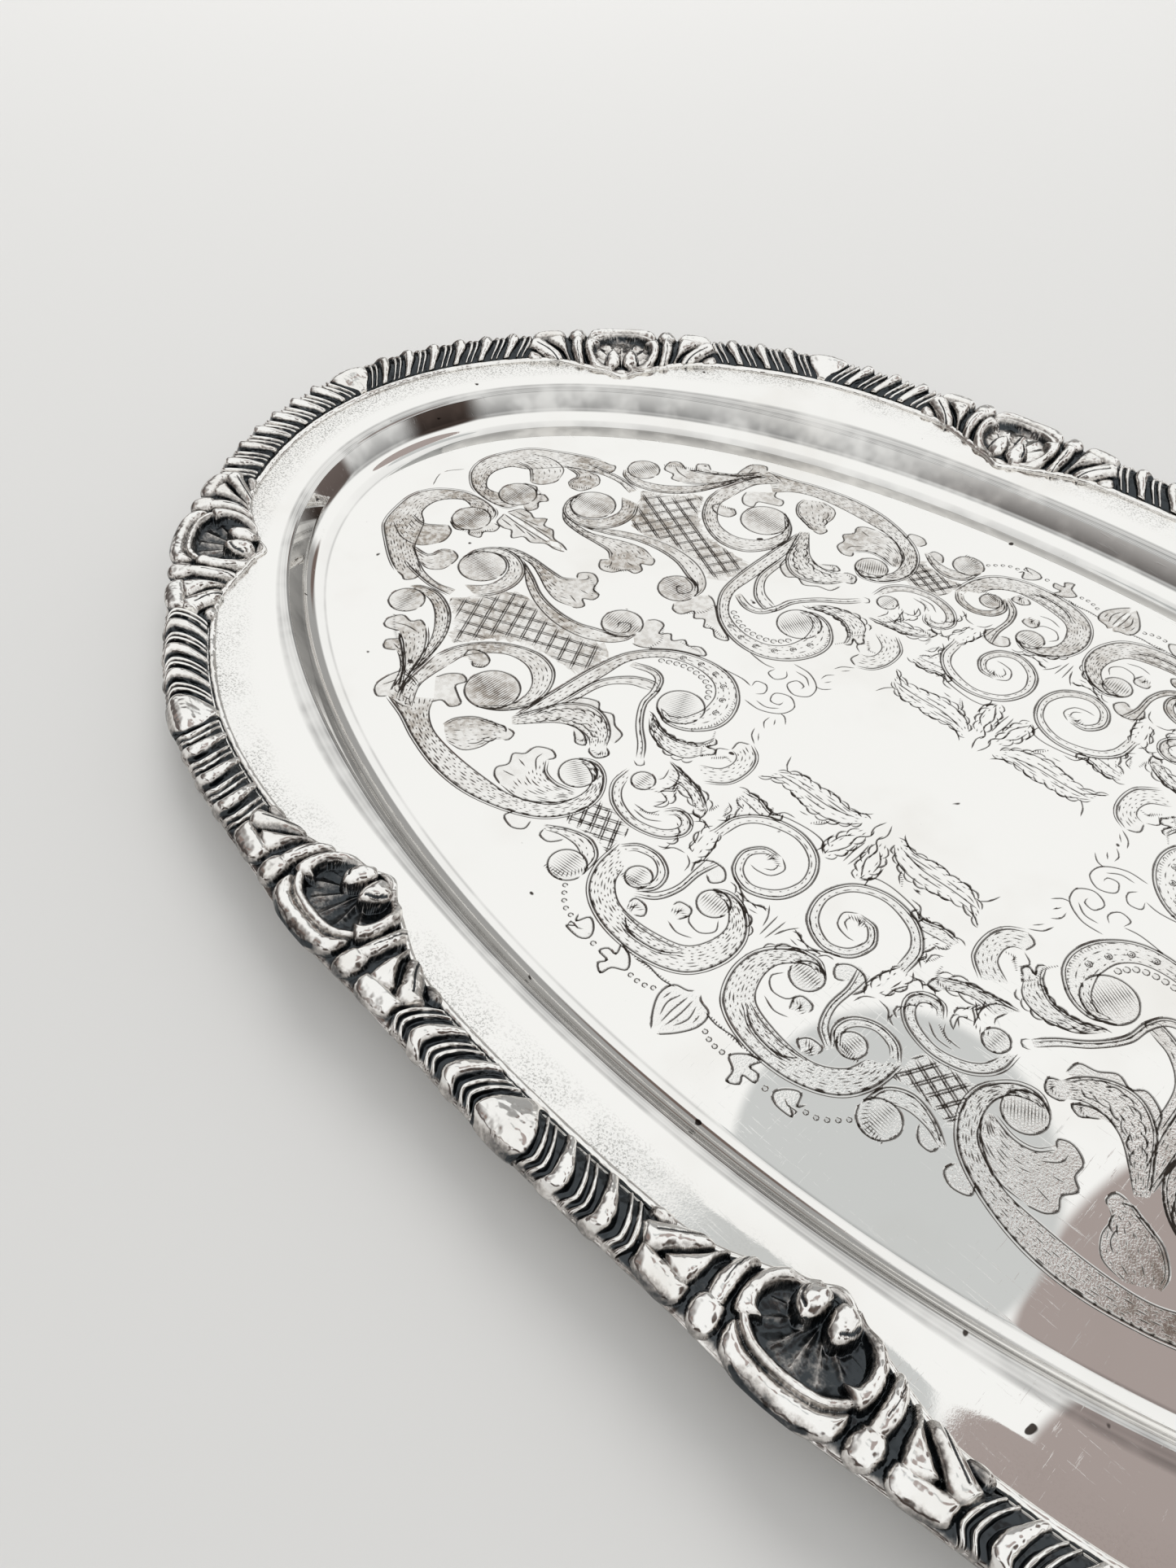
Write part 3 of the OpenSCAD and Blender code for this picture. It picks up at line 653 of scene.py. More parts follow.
class Chaser:
    """Collects the cuts of the chasing, each a V-shaped groove with tapered ends."""

    def __init__(self):
        self.verts, self.edges, self.samples, self.areas = [], [], [], []
        self.random = random.Random(7)

    def cut(self, line, half, taper=1.2):
        """One cut along a line, kept clear of the two axes, where the quarters meet."""
        for start, stop in spans((line < -half - AXIS_GAP).all(1)):
            if stop - start > 2:
                self.groove(line[start:stop], half, taper)

    def groove(self, line, half, taper):
        s = length_along(line)
        if s[-1] < SHORTEST_CUT:
            return
        wide = half * np.clip(np.minimum(s, s[-1] - s) / min(taper, s[-1] / 2), 0, 1) ** 0.7
        side = square_to(line) * wide[:, None]
        n, first = len(line), len(self.verts)
        self.verts += line.tolist() + (line + side)[1:-1].tolist() + (line - side)[1:-1].tolist()
        self.edges += [(first + i, first + i + 1) for i in range(n - 1)]
        for off in (first + n, first + 2 * n - 2):
            chain = [first] + list(range(off, off + n - 2)) + [first + n - 1]
            self.edges += list(zip(chain[:-1], chain[1:]))
        t = np.linspace(0, s[-1], max(3, int(s[-1] / SAMPLE_STEP)))
        samples = [np.interp(t, s, c) for c in (line[:, 0], line[:, 1], wide)]
        self.samples.append(np.stack(samples, -1))

    def flow(self, a, b, count):
        """Broken cuts that follow a form between its two edges."""
        n = max(9, int(length_along(a)[-1] / 0.5))
        a, b = resample(a, n), resample(b, n)
        for k in range(count):
            t = (k + 0.6) / (count + 0.2)
            line = a * (1 - t) + b * t
            i = self.random.randint(0, 3)
            while i < n - 3:
                step = self.random.choice((3, 3, 4, 4, 5, 7))
                bit = line[i:i + step]
                if len(bit) > 2:
                    self.cut(resample(bit, 3 if step < 7 else 4), CUT_NICK, 0.8)
                i += step + self.random.choice((0, 1, 1))

    def forms(self):
        for a, b, tip, count in FORMS:
            a, b = chased(a), chased(b)
            outline = [a, b[::-1]]
            self.cut(a, CUT_WIDE, 3)
            self.cut(a - square_to(a) * 0.62, CUT_NICK, 3)
            self.cut(b, CUT_FINE, 3)
            if tip:
                tip = chased(tip, 0.6)
                self.cut(tip, CUT_WIDE, 0.8)
                outline.insert(1, tip)
            self.flow(a, b, count)
            self.areas.append(np.concatenate(outline))

    def lobes_and_cuts(self):
        for line in LOBES:
            line = chased(line, 0.6)
            self.cut(line, CUT_WIDE, 0.8)
            self.areas.append(line)
        for line in CUTS:
            self.cut(chased(line, 0.6), CUT_FINE, 1.5)

    def discs(self):
        for x, y, r, slant in DISCS:
            self.cut(circle(-x, -y, r, int(r * 8)), CUT_WIDE, 0.4)
            self.areas.append(circle(-x, -y, r, 24))
            h = math.radians(slant)
            for off in np.arange(0.6 - r, r - 0.4, 0.6):
                half = math.sqrt(r * r - off * off) - 0.45
                if half > 0.4:
                    centre = np.array([-x - math.sin(h) * off, -y + math.cos(h) * off])
                    hatch = np.outer((-half, 0, half), (math.cos(h), math.sin(h)))
                    self.cut(centre + hatch, CUT_NICK, 1.5)

    def lattices(self):
        for poly, pitch in LATTICES:
            poly = chased(poly + poly[:2], 1.5)
            self.areas.append(poly)
            for slant in LATTICE_SLANTS:
                for line in hatching(poly, slant, pitch):
                    for side in (-BAR_HALF, BAR_HALF):
                        moved = line + square_to(line) * side
                        for start, stop in spans(inside(moved, poly)):
                            if stop - start > 3:
                                bar = resample(moved[start:stop], 3 + (stop - start) // 6)
                                self.cut(bar, CUT_FINE, 0.5)
            # short strokes that shade the cells
            for line in hatching(poly, LATTICE_SLANTS[0], pitch / 5):
                within = inside(line, poly)
                for i in range(0, len(line) - 4, 4):
                    if within[i:i + 3].all() and self.random.random() < 0.6:
                        self.cut(line[i:i + 3], CUT_NICK * 0.8, 0.8)

    def combs(self):
        for line, long, pitch in COMBS:
            line = chased(line, 0.3)
            line = resample(line, max(4, int(length_along(line)[-1] / pitch)))
            way = square_to(line) * long
            lean = np.stack([way[:, 1], -way[:, 0]], -1) * 0.35
            for i, (at_line, end) in enumerate(zip(line, way + lean)):
                share = 1 - 0.45 * abs(2 * i / (len(line) - 1) - 1)
                self.cut(at_line + np.outer((0, 0.5 * share, share), end), CUT_NICK, 0.7)

    def ragged(self, edge, out):
        """A leaf's edge as strokes that bulge out and overlap."""
        count = max(2, int(length_along(edge)[-1] / 2.6))
        edge = resample(edge, count * 8 + 1)
        way = square_to(edge) * out
        for k in range(count):
            stroke = slice(k * 8, min(k * 8 + 11, len(edge)))
            t = np.linspace(0, 1, len(edge[stroke]))[:, None]
            bulge = 0.55 * np.sin(math.pi * t) - 0.75 * t ** 3
            self.cut(edge[stroke] + way[stroke] * bulge, CUT_WIDE if k % 2 else CUT_FINE, 1.0)

    def leaves(self):
        for a, b, rows in LEAVES:
            a, b = chased(a), chased(b)
            middle = (a.mean(0) + b.mean(0)) / 2
            for edge in (a, b):
                out = edge[len(edge) // 2] - middle
                self.ragged(edge, 1 if square_to(edge)[len(edge) // 2] @ out > 0 else -1)
            self.flow(a, b, rows)

    def beads(self):
        for points, count, r in BEADS:
            for x, y in resample(chased(points), max(count, 2))[:count]:
                self.cut(circle(x, y, r, 9), CUT_NICK, 0.2)


def chased_quarter(edge):
    """Points, triangles, depths and matted faces of the quarter of the floor inside an edge."""
    c = Chaser()
    for part in (c.forms, c.lobes_and_cuts, c.discs, c.lattices, c.beads, c.combs, c.leaves):
        part()
    long_axis = np.column_stack([np.linspace(0, edge[0, 0], 40)[1:-1], np.zeros(38)])
    short_axis = np.column_stack([np.zeros(22), np.linspace(edge[-1, 1], 0, 24)[1:-1]])
    outline = np.concatenate([[[0, 0]], long_axis, edge, short_axis])
    first, n = len(c.verts), len(outline)
    verts = [Vector(p) for p in c.verts + outline.tolist()]
    edges = c.edges + [(first + i, first + (i + 1) % n) for i in range(n)]
    out, _, faces, *_ = geometry.delaunay_2d_cdt(verts, edges, [], 0, 1e-5)
    xy, tri = np.array([tuple(v) for v in out]), np.array(faces)
    # the triangulation works in single precision, so the rim is put back exactly
    for point in edge:
        xy[np.hypot(*(xy - point).T) < 0.001] = point
    tri = tri[inside(xy[tri].mean(1), outline)]
    corner = xy[tri]
    turn = np.cross(corner[:, 1] - corner[:, 0], corner[:, 2] - corner[:, 0])
    tri[turn < 0] = tri[turn < 0][:, ::-1]
    tree_points = np.concatenate(c.samples)
    tree = kdtree.KDTree(len(tree_points))
    for i, (x, y, _) in enumerate(tree_points):
        tree.insert((x, y, 0), i)
    tree.balance()
    lows = np.zeros(len(xy))
    for i, (x, y) in enumerate(xy):
        near = [tree_points[j, 2] - gap for _, j, gap in tree.find_range((x, y, 0), CUT_WIDE)]
        lows[i] = max(near + [0.004]) - 0.004
    lows[(xy > -0.05).any(1)] = 0
    centres = xy[tri].mean(1)
    matted = np.zeros(len(tri), bool)
    for poly in c.areas:
        close = np.nonzero(((centres > poly.min(0)) & (centres < poly.max(0))).all(1))[0]
        matted[close] |= inside(centres[close], poly)
    return xy, tri, lows, matted


# ---------------------------------------------------------------- the pressed sheet
STATIONS = 720
# The rings of the section that the streaks start from and that the painted shade at the foot of the
# wall ends at, and how worn the flange is from just inside its bend outwards
STREAK_FROM, FOOT_TO = 13, 7
WORN = (0.0, 0.12, 0.3, 0.65, 1, 1.2, 1.2, 1.2)


def wall_section():
    """The well's wall as (in from the rim, height), from the floor's edge up to the rim."""
    fold_drop = FOLD_R * (math.cos(RIM_SLOPE) - math.cos(WALL_RISE))
    drop = RIM_Z - SHEET_T - WELL_R * (1 - math.cos(WALL_RISE)) - fold_drop
    fold_run = FOLD_R * (math.sin(WALL_RISE) - math.sin(RIM_SLOPE))
    floor_in = fold_run + drop / math.tan(WALL_RISE) + WELL_R * math.sin(WALL_RISE)
    a = np.linspace(0, WALL_RISE, 16)
    low = np.stack([floor_in - WELL_R * np.sin(a), SHEET_T + WELL_R * (1 - np.cos(a))], -1)
    a = np.linspace(WALL_RISE, RIM_SLOPE, 10)
    high = np.stack([FOLD_R * (np.sin(a) - math.sin(RIM_SLOPE)),
                     RIM_Z - FOLD_R * (math.cos(RIM_SLOPE) - np.cos(a))], -1)
    return np.concatenate([low, high])


WALL = wall_section()
BEND = (0.05, 0.1, 0.15, 0.2, 0.26, 0.33, 0.42, 0.54, 0.68, 0.82, 0.93)
FLANGE_D = (SEAT_IN, 17.5, 15.5, 13.5, 11.5, 9, 6, 3, EDGE_IN)
STATION_S = np.arange(STATIONS) * ROUND_TRIP / STATIONS
STATION_A = angle_at(STATION_S)


def well_ring(p, z):
    r = oval_r(STATION_A, TRAY_L / 2 - RIM_IN - p, TRAY_W / 2 - RIM_IN - p, WELL_FULLNESS)
    return np.stack([r * np.cos(STATION_A), r * np.sin(STATION_A), np.full(STATIONS, z)], -1)


def flange_ring(d, z):
    return np.concatenate([at(STATION_S, d), np.full((STATIONS, 1), z)], 1)


def tray_sheet():
    upper = [well_ring(p, z) for p, z in WALL]
    rim, seat = upper[-1], flange_ring(SEAT_IN, seat_z(SEAT_IN))
    bend = [rim * (1 - t) + seat * t for t in BEND]
    upper += bend + [flange_ring(d, seat_z(d)) for d in FLANGE_D]
    steps = np.gradient(np.array(WALL), axis=0)
    square = np.stack([-steps[:, 1], steps[:, 0]], -1) / np.linalg.norm(steps, axis=1)[:, None]
    square[0] = (0, -1)
    under = [well_ring(p + o[0] * SHEET_T, z - abs(o[1]) * SHEET_T)
             for (p, z), o in zip(WALL, square)]
    lower = [flange_ring(d, seat_z(d) - SHEET_T) for d in (EDGE_IN, SEAT_IN)]
    rings = np.array(upper + lower + under[::-1])
    m = len(rings)
    quarter = STATIONS // 4
    edge = upper[0][2 * quarter:3 * quarter + 1, :2].copy()
    edge[0, 1] = edge[-1, 0] = 0
    xy, tri, lows, matted = chased_quarter(edge)
    quarters, tris, cuts = [], [], []
    for sx, sy in ((1, 1), (-1, 1), (-1, -1), (1, -1)):
        turned = tri if sx * sy > 0 else tri[:, ::-1]
        tris.append(turned + m * STATIONS + len(quarters) * len(xy))
        quarters.append(np.column_stack([xy * (sx, sy), SHEET_T - lows * CUT_SLOPE]))
        cuts.append(np.clip(lows / CUT_FULL, 0, 1))
    verts = np.concatenate([rings.reshape(-1, 3)] + quarters)
    _, first, index = np.unique(np.round(verts, 4), axis=0, return_index=True, return_inverse=True)
    index = index.ravel()
    groove = np.concatenate([np.zeros(m * STATIONS)] + cuts)
    worn = np.zeros(len(verts))
    centre = len(WALL) + len(bend)
    for i, w in enumerate(WORN, centre - 2):
        worn[i * STATIONS:(i + 1) * STATIONS] = w
    streak = np.zeros(len(verts))
    for i in range(STREAK_FROM, len(WALL) + 5):
        fresh = RNG.uniform(0.6, 1) if i % 2 else RNG.uniform(0.25, 0.7)
        streak[i * STATIONS:(i + 1) * STATIONS] = fresh * (1 if i < len(WALL) else 0.75)
    # The foot of the wall is painted grey, a painted reflection strong on the far side and faint on
    # the near side, over a painted shade line where the wall meets the floor
    far = 0.15 + 0.85 * smooth(-0.3, 0.4, np.sin(STATION_A))
    for i in range(1, FOOT_TO):
        streak[i * STATIONS:(i + 1) * STATIONS] = (0.5 - 0.04 * i) * (far if i > 1 else 1)
    quads = index[ring_faces(m, STATIONS, False)[:, ::-1]]
    tris = index[np.concatenate(tris)]
    bottom = index[((m - 1) * STATIONS + np.arange(STATIONS))[::-1]][None, :]
    face_mat = np.concatenate([np.zeros(len(quads)), np.tile(matted, 4), [0]])
    flat = np.zeros(len(face_mat), bool)
    flat[len(quads):] = True
    return mesh_from("tray_sheet", verts[first], [quads, tris, bottom], flat,
                     worn=worn[first], groove=groove[first], streak=streak[first], matted=face_mat)


settle(tray_sheet(), ["tray_body"], SHEET_SILVER)

# ---------------------------------------------------------------- border
LIP_DROP, LIP_IN = 1.1, 1.4
CROWN_STEPS = 44
# How dark the faces under the crown are painted, a painted shade
FOOT_SHADE = 0.45


def border_rings(s, d_in, d_out, rise, relief):
    """Closed sections along a border piece.

    s is (stations, steps) arc lengths, d_in and d_out the toes, rise the height of the plain
    crown, and relief how far each point stands out from it, square to its surface."""
    a = np.linspace(0, math.pi, s.shape[1])
    c, r = (d_in + d_out) / 2, (d_in - d_out) / 2
    d = c[:, None] + r[:, None] * np.cos(a)
    z = seat_z(d) + rise[:, None] * np.sin(a)
    nd, nz = profile_normals(d, z)
    out_d, out_z = d + nd * relief, z + nz * relief
    top = np.concatenate([at(s, out_d), out_z[..., None]], -1)
    # under the crown: the lip that wraps the sheet's edge, and then just inside the inner toe
    under = ((-1, out_d[:, -1] + 0.25, EDGE_Z - LIP_DROP), (-1, LIP_IN, EDGE_Z - LIP_DROP - 0.3),
             (-1, LIP_IN, EDGE_Z), (0, d_in - 0.3, seat_z(d_in - 0.3) + 0.02))
    foot = [np.column_stack([at(s[:, k], dd), np.broadcast_to(zz, len(s))]) for k, dd, zz in under]
    return np.concatenate([top, np.stack(foot, 1)], 1)


# Painted shade on the steep outer faces, and how far a gadroon leans towards its shell
TOE_SHADE = 0.55
LEAN = 4.7
# A gadroon's lobe and its two reeds: middle and half-width as shares of the pitch, and height
LOBE_AND_REEDS = ((0.74, 0.205, 2.15), (0.16, 0.066, 1.35), (0.365, 0.062, 1.15))


def lean_at(a):
    """How far a gadroon has leant towards the shell, from its inner toe round to its outer toe."""
    t = (1 - np.cos(a)) / 2
    return LEAN * (1 - (1 - np.clip(t / 0.8, 0, 1)) ** 1.7) - 1.5 * smooth(0.72, 1, t)


def dome(x):
    return np.sqrt(np.clip(1 - x * x, 0, 1))


def gadroon_relief(f, a):
    """Relief and darkness of a gadroon at fraction f of its pitch and angle a round the crown."""
    t = (1 - np.cos(a)) / 2
    slim = 0.62 + 0.38 * smooth(0.05, 0.55, t)
    toe = smooth(0.0, 0.06, t) * (0.7 + 0.3 * smooth(0.05, 0.5, t)) * (1 - 0.6 * smooth(0.8, 1, t))
    belly = 0.86 + 0.22 * np.exp(-(((t - 0.72) / 0.2) ** 2))
    height, bright = 0 * f, 0 * f
    for middle, half, tall in LOBE_AND_REEDS:
        x = (f - middle) / (half * slim)
        height = np.maximum(height, tall * dome(x) ** 0.85 * toe * belly)
        x = np.abs(x)
        # each lobe gets a painted highlight along its top that fades to a painted grey shade down
        # its sides
        shine = (1 - 0.45 * smooth(0.35, 0.75, x)) * smooth(0.99, 0.76, x) * smooth(0.01, 0.05, t)
        bright = np.maximum(bright, shine)
    # oxide fills the gaps between lobes, lighter at the outer toe; painted shade darkens the steep
    # outer face
    low = (1 - bright) * (1 - 0.5 * smooth(0.9, 1, t))
    return height, np.maximum(low, TOE_SHADE * smooth(0.84, 0.97, t))


def gadroon_run(name, start, end, count):
    """A run of gadroons from its knuckle at start to its shell at end."""
    way = 1 if end > start else -1
    a = np.linspace(0, math.pi, CROWN_STEPS)
    stations = int(count * 52)
    w = np.linspace(0, 1, stations + 1)[:, None]
    first = start + way * (1.6 + lean_at(a))[None, :]
    last = end + way * (-3.4 + 0.85 * lean_at(a))[None, :]
    s = first * (1 - w) + last * w
    f = (w * count) % 1.0 + 0 * s
    height, low = gadroon_relief(f, a[None, :] + 0 * s)
    ends = smooth(0, 0.01, w) * smooth(0, 0.01, 1 - w)
    ones = np.ones(stations + 1)
    rings = border_rings(s, (BORDER_W - 0.1) * ones, 1.4 * ones, 2.05 * ones, (height - 0.1) * ends)
    low = np.concatenate([low, np.full((len(low), 4), FOOT_SHADE)], 1)
    if way > 0:
        rings, low = rings[::-1], low[::-1]
    return skin(name, rings, low=low)


def gadroon_runs():
    anchors = ((0.0, SHELL_A - SHELL_L / 2), (KNUCKLE_B, SHELL_A + SHELL_L / 2),
               (KNUCKLE_B, SHELL_B - SHELL_L / 2), (QUARTER, SHELL_B + SHELL_L / 2))
    k = 0
    for q in range(4):
        for (start, end), count in zip(anchors, RUNS):
            k += 1
            start, end = in_quarter(start, q), in_quarter(end, q)
            run = gadroon_run(f"gadroon_relief_{k}", start, end, count)
            settle(run, [f"gadroon_{k}"], CAST_SILVER)


gadroon_runs()


def knuckles():
    count = 49
    for k, centre in enumerate(KNUCKLE_AT, 1):
        a = np.linspace(0, math.pi, CROWN_STEPS)[None, :]
        u = np.linspace(-1, 1, count)[:, None]
        s = centre + u * (1.7 + lean_at(a))
        t = (1 - np.cos(a)) / 2
        wide = 0.68 + 0.32 * smooth(0, 0.4, t) - 0.14 * smooth(0.8, 1, t)
        belly = 0.7 + 1.36 * np.exp(-(((t - 0.68) / 0.27) ** 2))
        height = dome(u / wide) ** 0.9 * belly * smooth(0, 0.06, t) * (1 - 0.5 * smooth(0.82, 1, t))
        ones = np.ones(count)
        rings = border_rings(s, (BORDER_W + 0.1) * ones, 0.9 * ones, 2.2 * ones, height)
        # oxide at the knuckle's two sides, and painted shade on its steep outer face
        low = np.maximum(smooth(0.84, 0.99, np.abs(u) / wide), TOE_SHADE * smooth(0.78, 0.95, t))
        low = np.concatenate([low, np.full((count, 4), FOOT_SHADE)], 1)
        obj = skin(f"knuckle_relief_{k}", rings[::-1], low=low[::-1])
        settle(obj, [f"knuckle_{k}"], CAST_SILVER)


knuckles()


# Half a shell, mirrored about its middle. A line is written x, y, x, y... in millimetres along
# and in from the shoulder of the border's outer edge. A form is an outline, how far in from its
# edge it reaches its full height, and that height; a groove is a line, its half-width and depth.
SHELL_FORMS = (
    # the lip of the scallop: its roll and its rim
    ((-6, 0.9, 4.6, 1.3, 7.8, 2.4, 9.8, 3.6, 10.5, 1.8, 9.7, -0.8, 7, -2.3, 3, -3.1, -6, -3.3), 2.0,
     2.2),
    ((-6, 2.9, 3.6, 3.2, 6.6, 4.1, 8.9, 5.5, 10.0, 4.4, 8.4, 2.7, 4.6, 1.3, -6, 0.9), 0.9, 1.7),
    # the two scrolls beside the scallop, the inner one curling into a volute
    ((8.6, 18, 12.3, 15.2, 14.8, 11.9, 15.8, 8.6, 15.9, 5.6, 15.4, 3.2, 14.2, 2.2, 12.2, 2.8, 12.2,
     6, 12.2, 9.6, 11.5, 13.0, 9.5, 15.9, 8.0, 17.2), 1.7, 2.1),
    ((2.4, 18.0, 6.0, 17.4, 9.0, 15.5, 11.0, 12.7, 11.8, 9.4, 11.8, 6.6, 11.1, 4.4, 9.6, 4.2, 8.0,
     5.3, 6.7, 6.4, 8.4, 7.4, 8.8, 9.8, 8.1, 12.3, 6.7, 14.2, 5.2, 15.3, 4.0, 15.8, 3.0, 16.4), 1.6,
     2.3),
    ((2.4, 17.6, 0.5, 16.6, 0.2, 14.4, 1.0, 11.6, 2.7, 10.0, 4.7, 11.4, 5.5, 14.0, 4.8, 16.2), 2.6,
     2.7),
    ((-5, 19.4, 1.6, 19.2, 4.4, 17.9, 3.4, 17.3, 1.6, 17.6, -5, 18.0), 0.7, 1.2),
    # the knob under the outer scroll and the long one under the leaf
    ((11.5, 3.6, 13.4, 4.4, 15.7, 3.6, 16.5, 1.0, 15.5, -1.5, 13.4, -2.3, 11.5, -1.4, 10.9, 1.0),
     2.5, 2.35),
    ((17.4, 2.2, 19.4, 2.6, 23, 2.7, 26.4, 2.9, 27.2, 1.0, 26.0, -1.0, 22.5, -2.2, 19.2, -2.1, 17.4,
     -0.4), 2.3, 2.2),
    # the leaf
    ((14.2, 14.4, 17, 11.2, 19.1, 7.8, 21.6, 4.9, 23.2, 3.2, 21.4, 1.6, 18.4, 1.6, 17.3, 5.0, 17.0,
     8.6, 15.6, 11.8), 1.5, 1.9),
    ((14.6, 14.8, 18.4, 13.2, 21.0, 11.0, 23.0, 8.8, 25.4, 6.6, 28.6, 4.9, 28.6, 3.3, 25.6, 2.0,
     23.6, 3.1, 22.0, 5.1, 19.5, 8.2, 17.4, 11.6), 1.9, 2.1),
    ((18.8, 13.6, 22.0, 12.2, 24.8, 10.4, 26.4, 8.5, 25.9, 7.0, 23.9, 8.0, 22.3, 10.0, 20.4, 12.0),
     1.2, 1.7),
)
SHELL_GROOVES = (
    ((4.7, 14.6, 4.3, 12.8, 3.0, 11.6), 0.3, 0.5),
    ((19.6, 10.4, 22.4, 7.2, 25.2, 4.9), 0.16, 0.22),
    ((13.6, 12.4, 14.1, 9, 14.0, 5.8), 0.14, 0.18),
    # a dark band with no depth along the lip's lower flank, a painted shade
    ((-3, -2.3, 3, -2.1, 6.4, -1.5), 0.4, 0.0),
)
SCALLOP = (9.4, 6.9, 9.2)
SCALLOP_TOP, FLUTES = 14.6, 22.0
SHELL_STEPS, SHELL_STATIONS = 132, 265
SHOULDER_V = 2.6
# How much lighter the scallop bowls of the shells on the far side are
FAR_BOWLS_LIGHTER = 0.4


def edge_gap(points, outline):
    """How far each point is from the points of an outline."""
    gap = np.full(len(points), 1e9)
    for x, y in outline:
        np.minimum(gap, (points[:, 0] - x) ** 2 + (points[:, 1] - y) ** 2, out=gap)
    return np.sqrt(gap)


def shell_field(u, v):
    """How far a shell stands out from its plain crown at (along, in from the shoulder), and how
    dark it is, from 0 on the high places to 1 in the recesses: oxide in the recesses, and
    painted shade on the slopes of the forms and on their outer side."""
    half = np.abs(u)
    points = np.stack([half.ravel(), v.ravel()], -1)
    height, low = np.full(len(points), -0.2), 0.45 + 0.52 * smooth(-2.4, -0.6, points[:, 1])
    along, high, middle = SCALLOP
    ring = np.hypot(points[:, 0] / along, (points[:, 1] - middle) / high)
    fan = np.degrees(np.arctan2(points[:, 0], SCALLOP_TOP - points[:, 1])) / FLUTES
    ridge = np.abs(2 * (fan % 1.0) - 1) ** 2
    fade = smooth(1.0, 0.7, ring) * smooth(1.5, 5, SCALLOP_TOP - points[:, 1])
    bowl = -1.9 * dome(ring * 0.99) ** 0.8 + 0.55 * ridge * fade
    height = np.where(ring < 1, bowl, height)
    low = np.where(ring < 1, 0.8 - 0.2 * ridge * fade + 0.17 * smooth(0.75, 1.0, ring), low)
    bowl_left = ring < 1
    for outline, reach, tall in SHELL_FORMS:
        edge = smooth_line(outline + outline[:2], 0.2)
        gap = edge_gap(points, edge)
        rib = tall * np.sqrt(1 - (1 - np.clip(gap / reach, 0, 1)) ** 2)
        over = inside(points, edge) & (rib > height)
        height = np.where(over, rib, height)
        # oxide where a form meets the ground, painted grey shade over its sloping edge, and painted
        # shade down its outer side
        shade = np.maximum(0.85 * (1 - smooth(0.05, 0.34, gap)), 0.52 * (1 - smooth(0.3, 1.5, gap)))
        shade = np.maximum(shade, 0.62 * smooth(0.5, -1.7, points[:, 1]))
        low = np.where(over, shade, low)
        bowl_left = bowl_left & ~over
    for line, wide, deep in SHELL_GROOVES:
        gap = edge_gap(points, smooth_line(line, 0.15)) / wide
        height = height - deep * smooth(1.3, 0, gap)
        low = np.maximum(low, 0.9 * smooth(1.3, 0.6, gap))
    return (height.reshape(u.shape), np.clip(low, 0, 1).reshape(u.shape),
            (bowl_left * smooth(1.0, 0.8, ring)).reshape(u.shape))


def shells():
    a = np.linspace(0, math.pi, SHELL_STEPS)
    half = np.linspace(0, SHELL_L / 2, SHELL_STATIONS // 2 + 1)
    u = np.concatenate([-half[:0:-1], half])
    w = swell(u)
    d_in, d_out = BORDER_W + SHELL_REACH * w + peak(u), 0.9 - 1.6 * w
    rise = 2.0 + 0.2 * w
    c, r = (d_in + d_out) / 2, (d_in - d_out) / 2
    d = c[:, None] + r[:, None] * np.cos(a)
    z = seat_z(d) + rise[:, None] * np.sin(a)
    arc = np.concatenate([np.zeros((len(u), 1)), np.cumsum(np.hypot(np.diff(d), np.diff(z)), 1)], 1)
    v = arc[:, -1:] - arc - SHOULDER_V
    right = v[len(half) - 1:]
    right_half = shell_field(half[:, None] + 0 * right, right)
    field, low, bowl = (np.concatenate([f[:0:-1], f]) for f in right_half)
    t = a / math.pi
    fade = smooth(0, 0.05, t) * smooth(0, 0.06, 1 - t) * (1 - 0.35 * smooth(0.8, 1, t))
    edge = smooth(0, 1.0, SHELL_L / 2 - np.abs(u))[:, None]
    outwards = np.sign(u) * smooth(0.7, 1, np.abs(u) / (SHELL_L / 2))
    shear = outwards[:, None] * (4.0 - 0.85 * lean_at(a))
    for k, centre in enumerate(SHELL_AT, 1):
        # the scallop bowls of the shells on the far side are lighter
        far_lighter = FAR_BOWLS_LIGHTER if at(centre, MID)[1] > 0.2 * TRAY_W else 0
        dark = np.concatenate([low - far_lighter * bowl, np.full((len(u), 4), FOOT_SHADE)], 1)
        rings = border_rings(centre + u[:, None] + shear, d_in, d_out, rise, field * fade * edge)
        obj = skin(f"shell_relief_{k}", rings[::-1], low=dark[::-1])
        settle(obj, [f"shell_mount_{k}"], CAST_SILVER)


shells()


def fillet():
    """The bright wire along the border's inner edge."""
    count = 1440
    s = np.arange(count) * ROUND_TRIP / count
    d = BORDER_W + 0.85 + SHELL_REACH * swell(to_shell(s)) + peak(to_shell(s))
    rings = []
    for a in np.linspace(0, math.pi, 9):
        dd = d + math.cos(a) * 0.85
        rings.append(np.concatenate([at(s, dd), (seat_z(dd) + 0.9 * math.sin(a))[:, None]], -1))
    rings = np.stack(rings, 1)
    return skin("fillet_wire", rings[::-1], closed=True, low=np.zeros(rings.shape[:2]))


settle(fillet(), ["inner_wire"], CAST_SILVER)

# ---------------------------------------------------------------- floor, light
FLOOR_HALF, FLOOR_GREY = 60.0, (0.70, 0.695, 0.685, 1)
SURROUNDINGS = (0.97, 0.98, 0.975, 1)
BACKDROP = (0.80, 0.80, 0.79, 1)
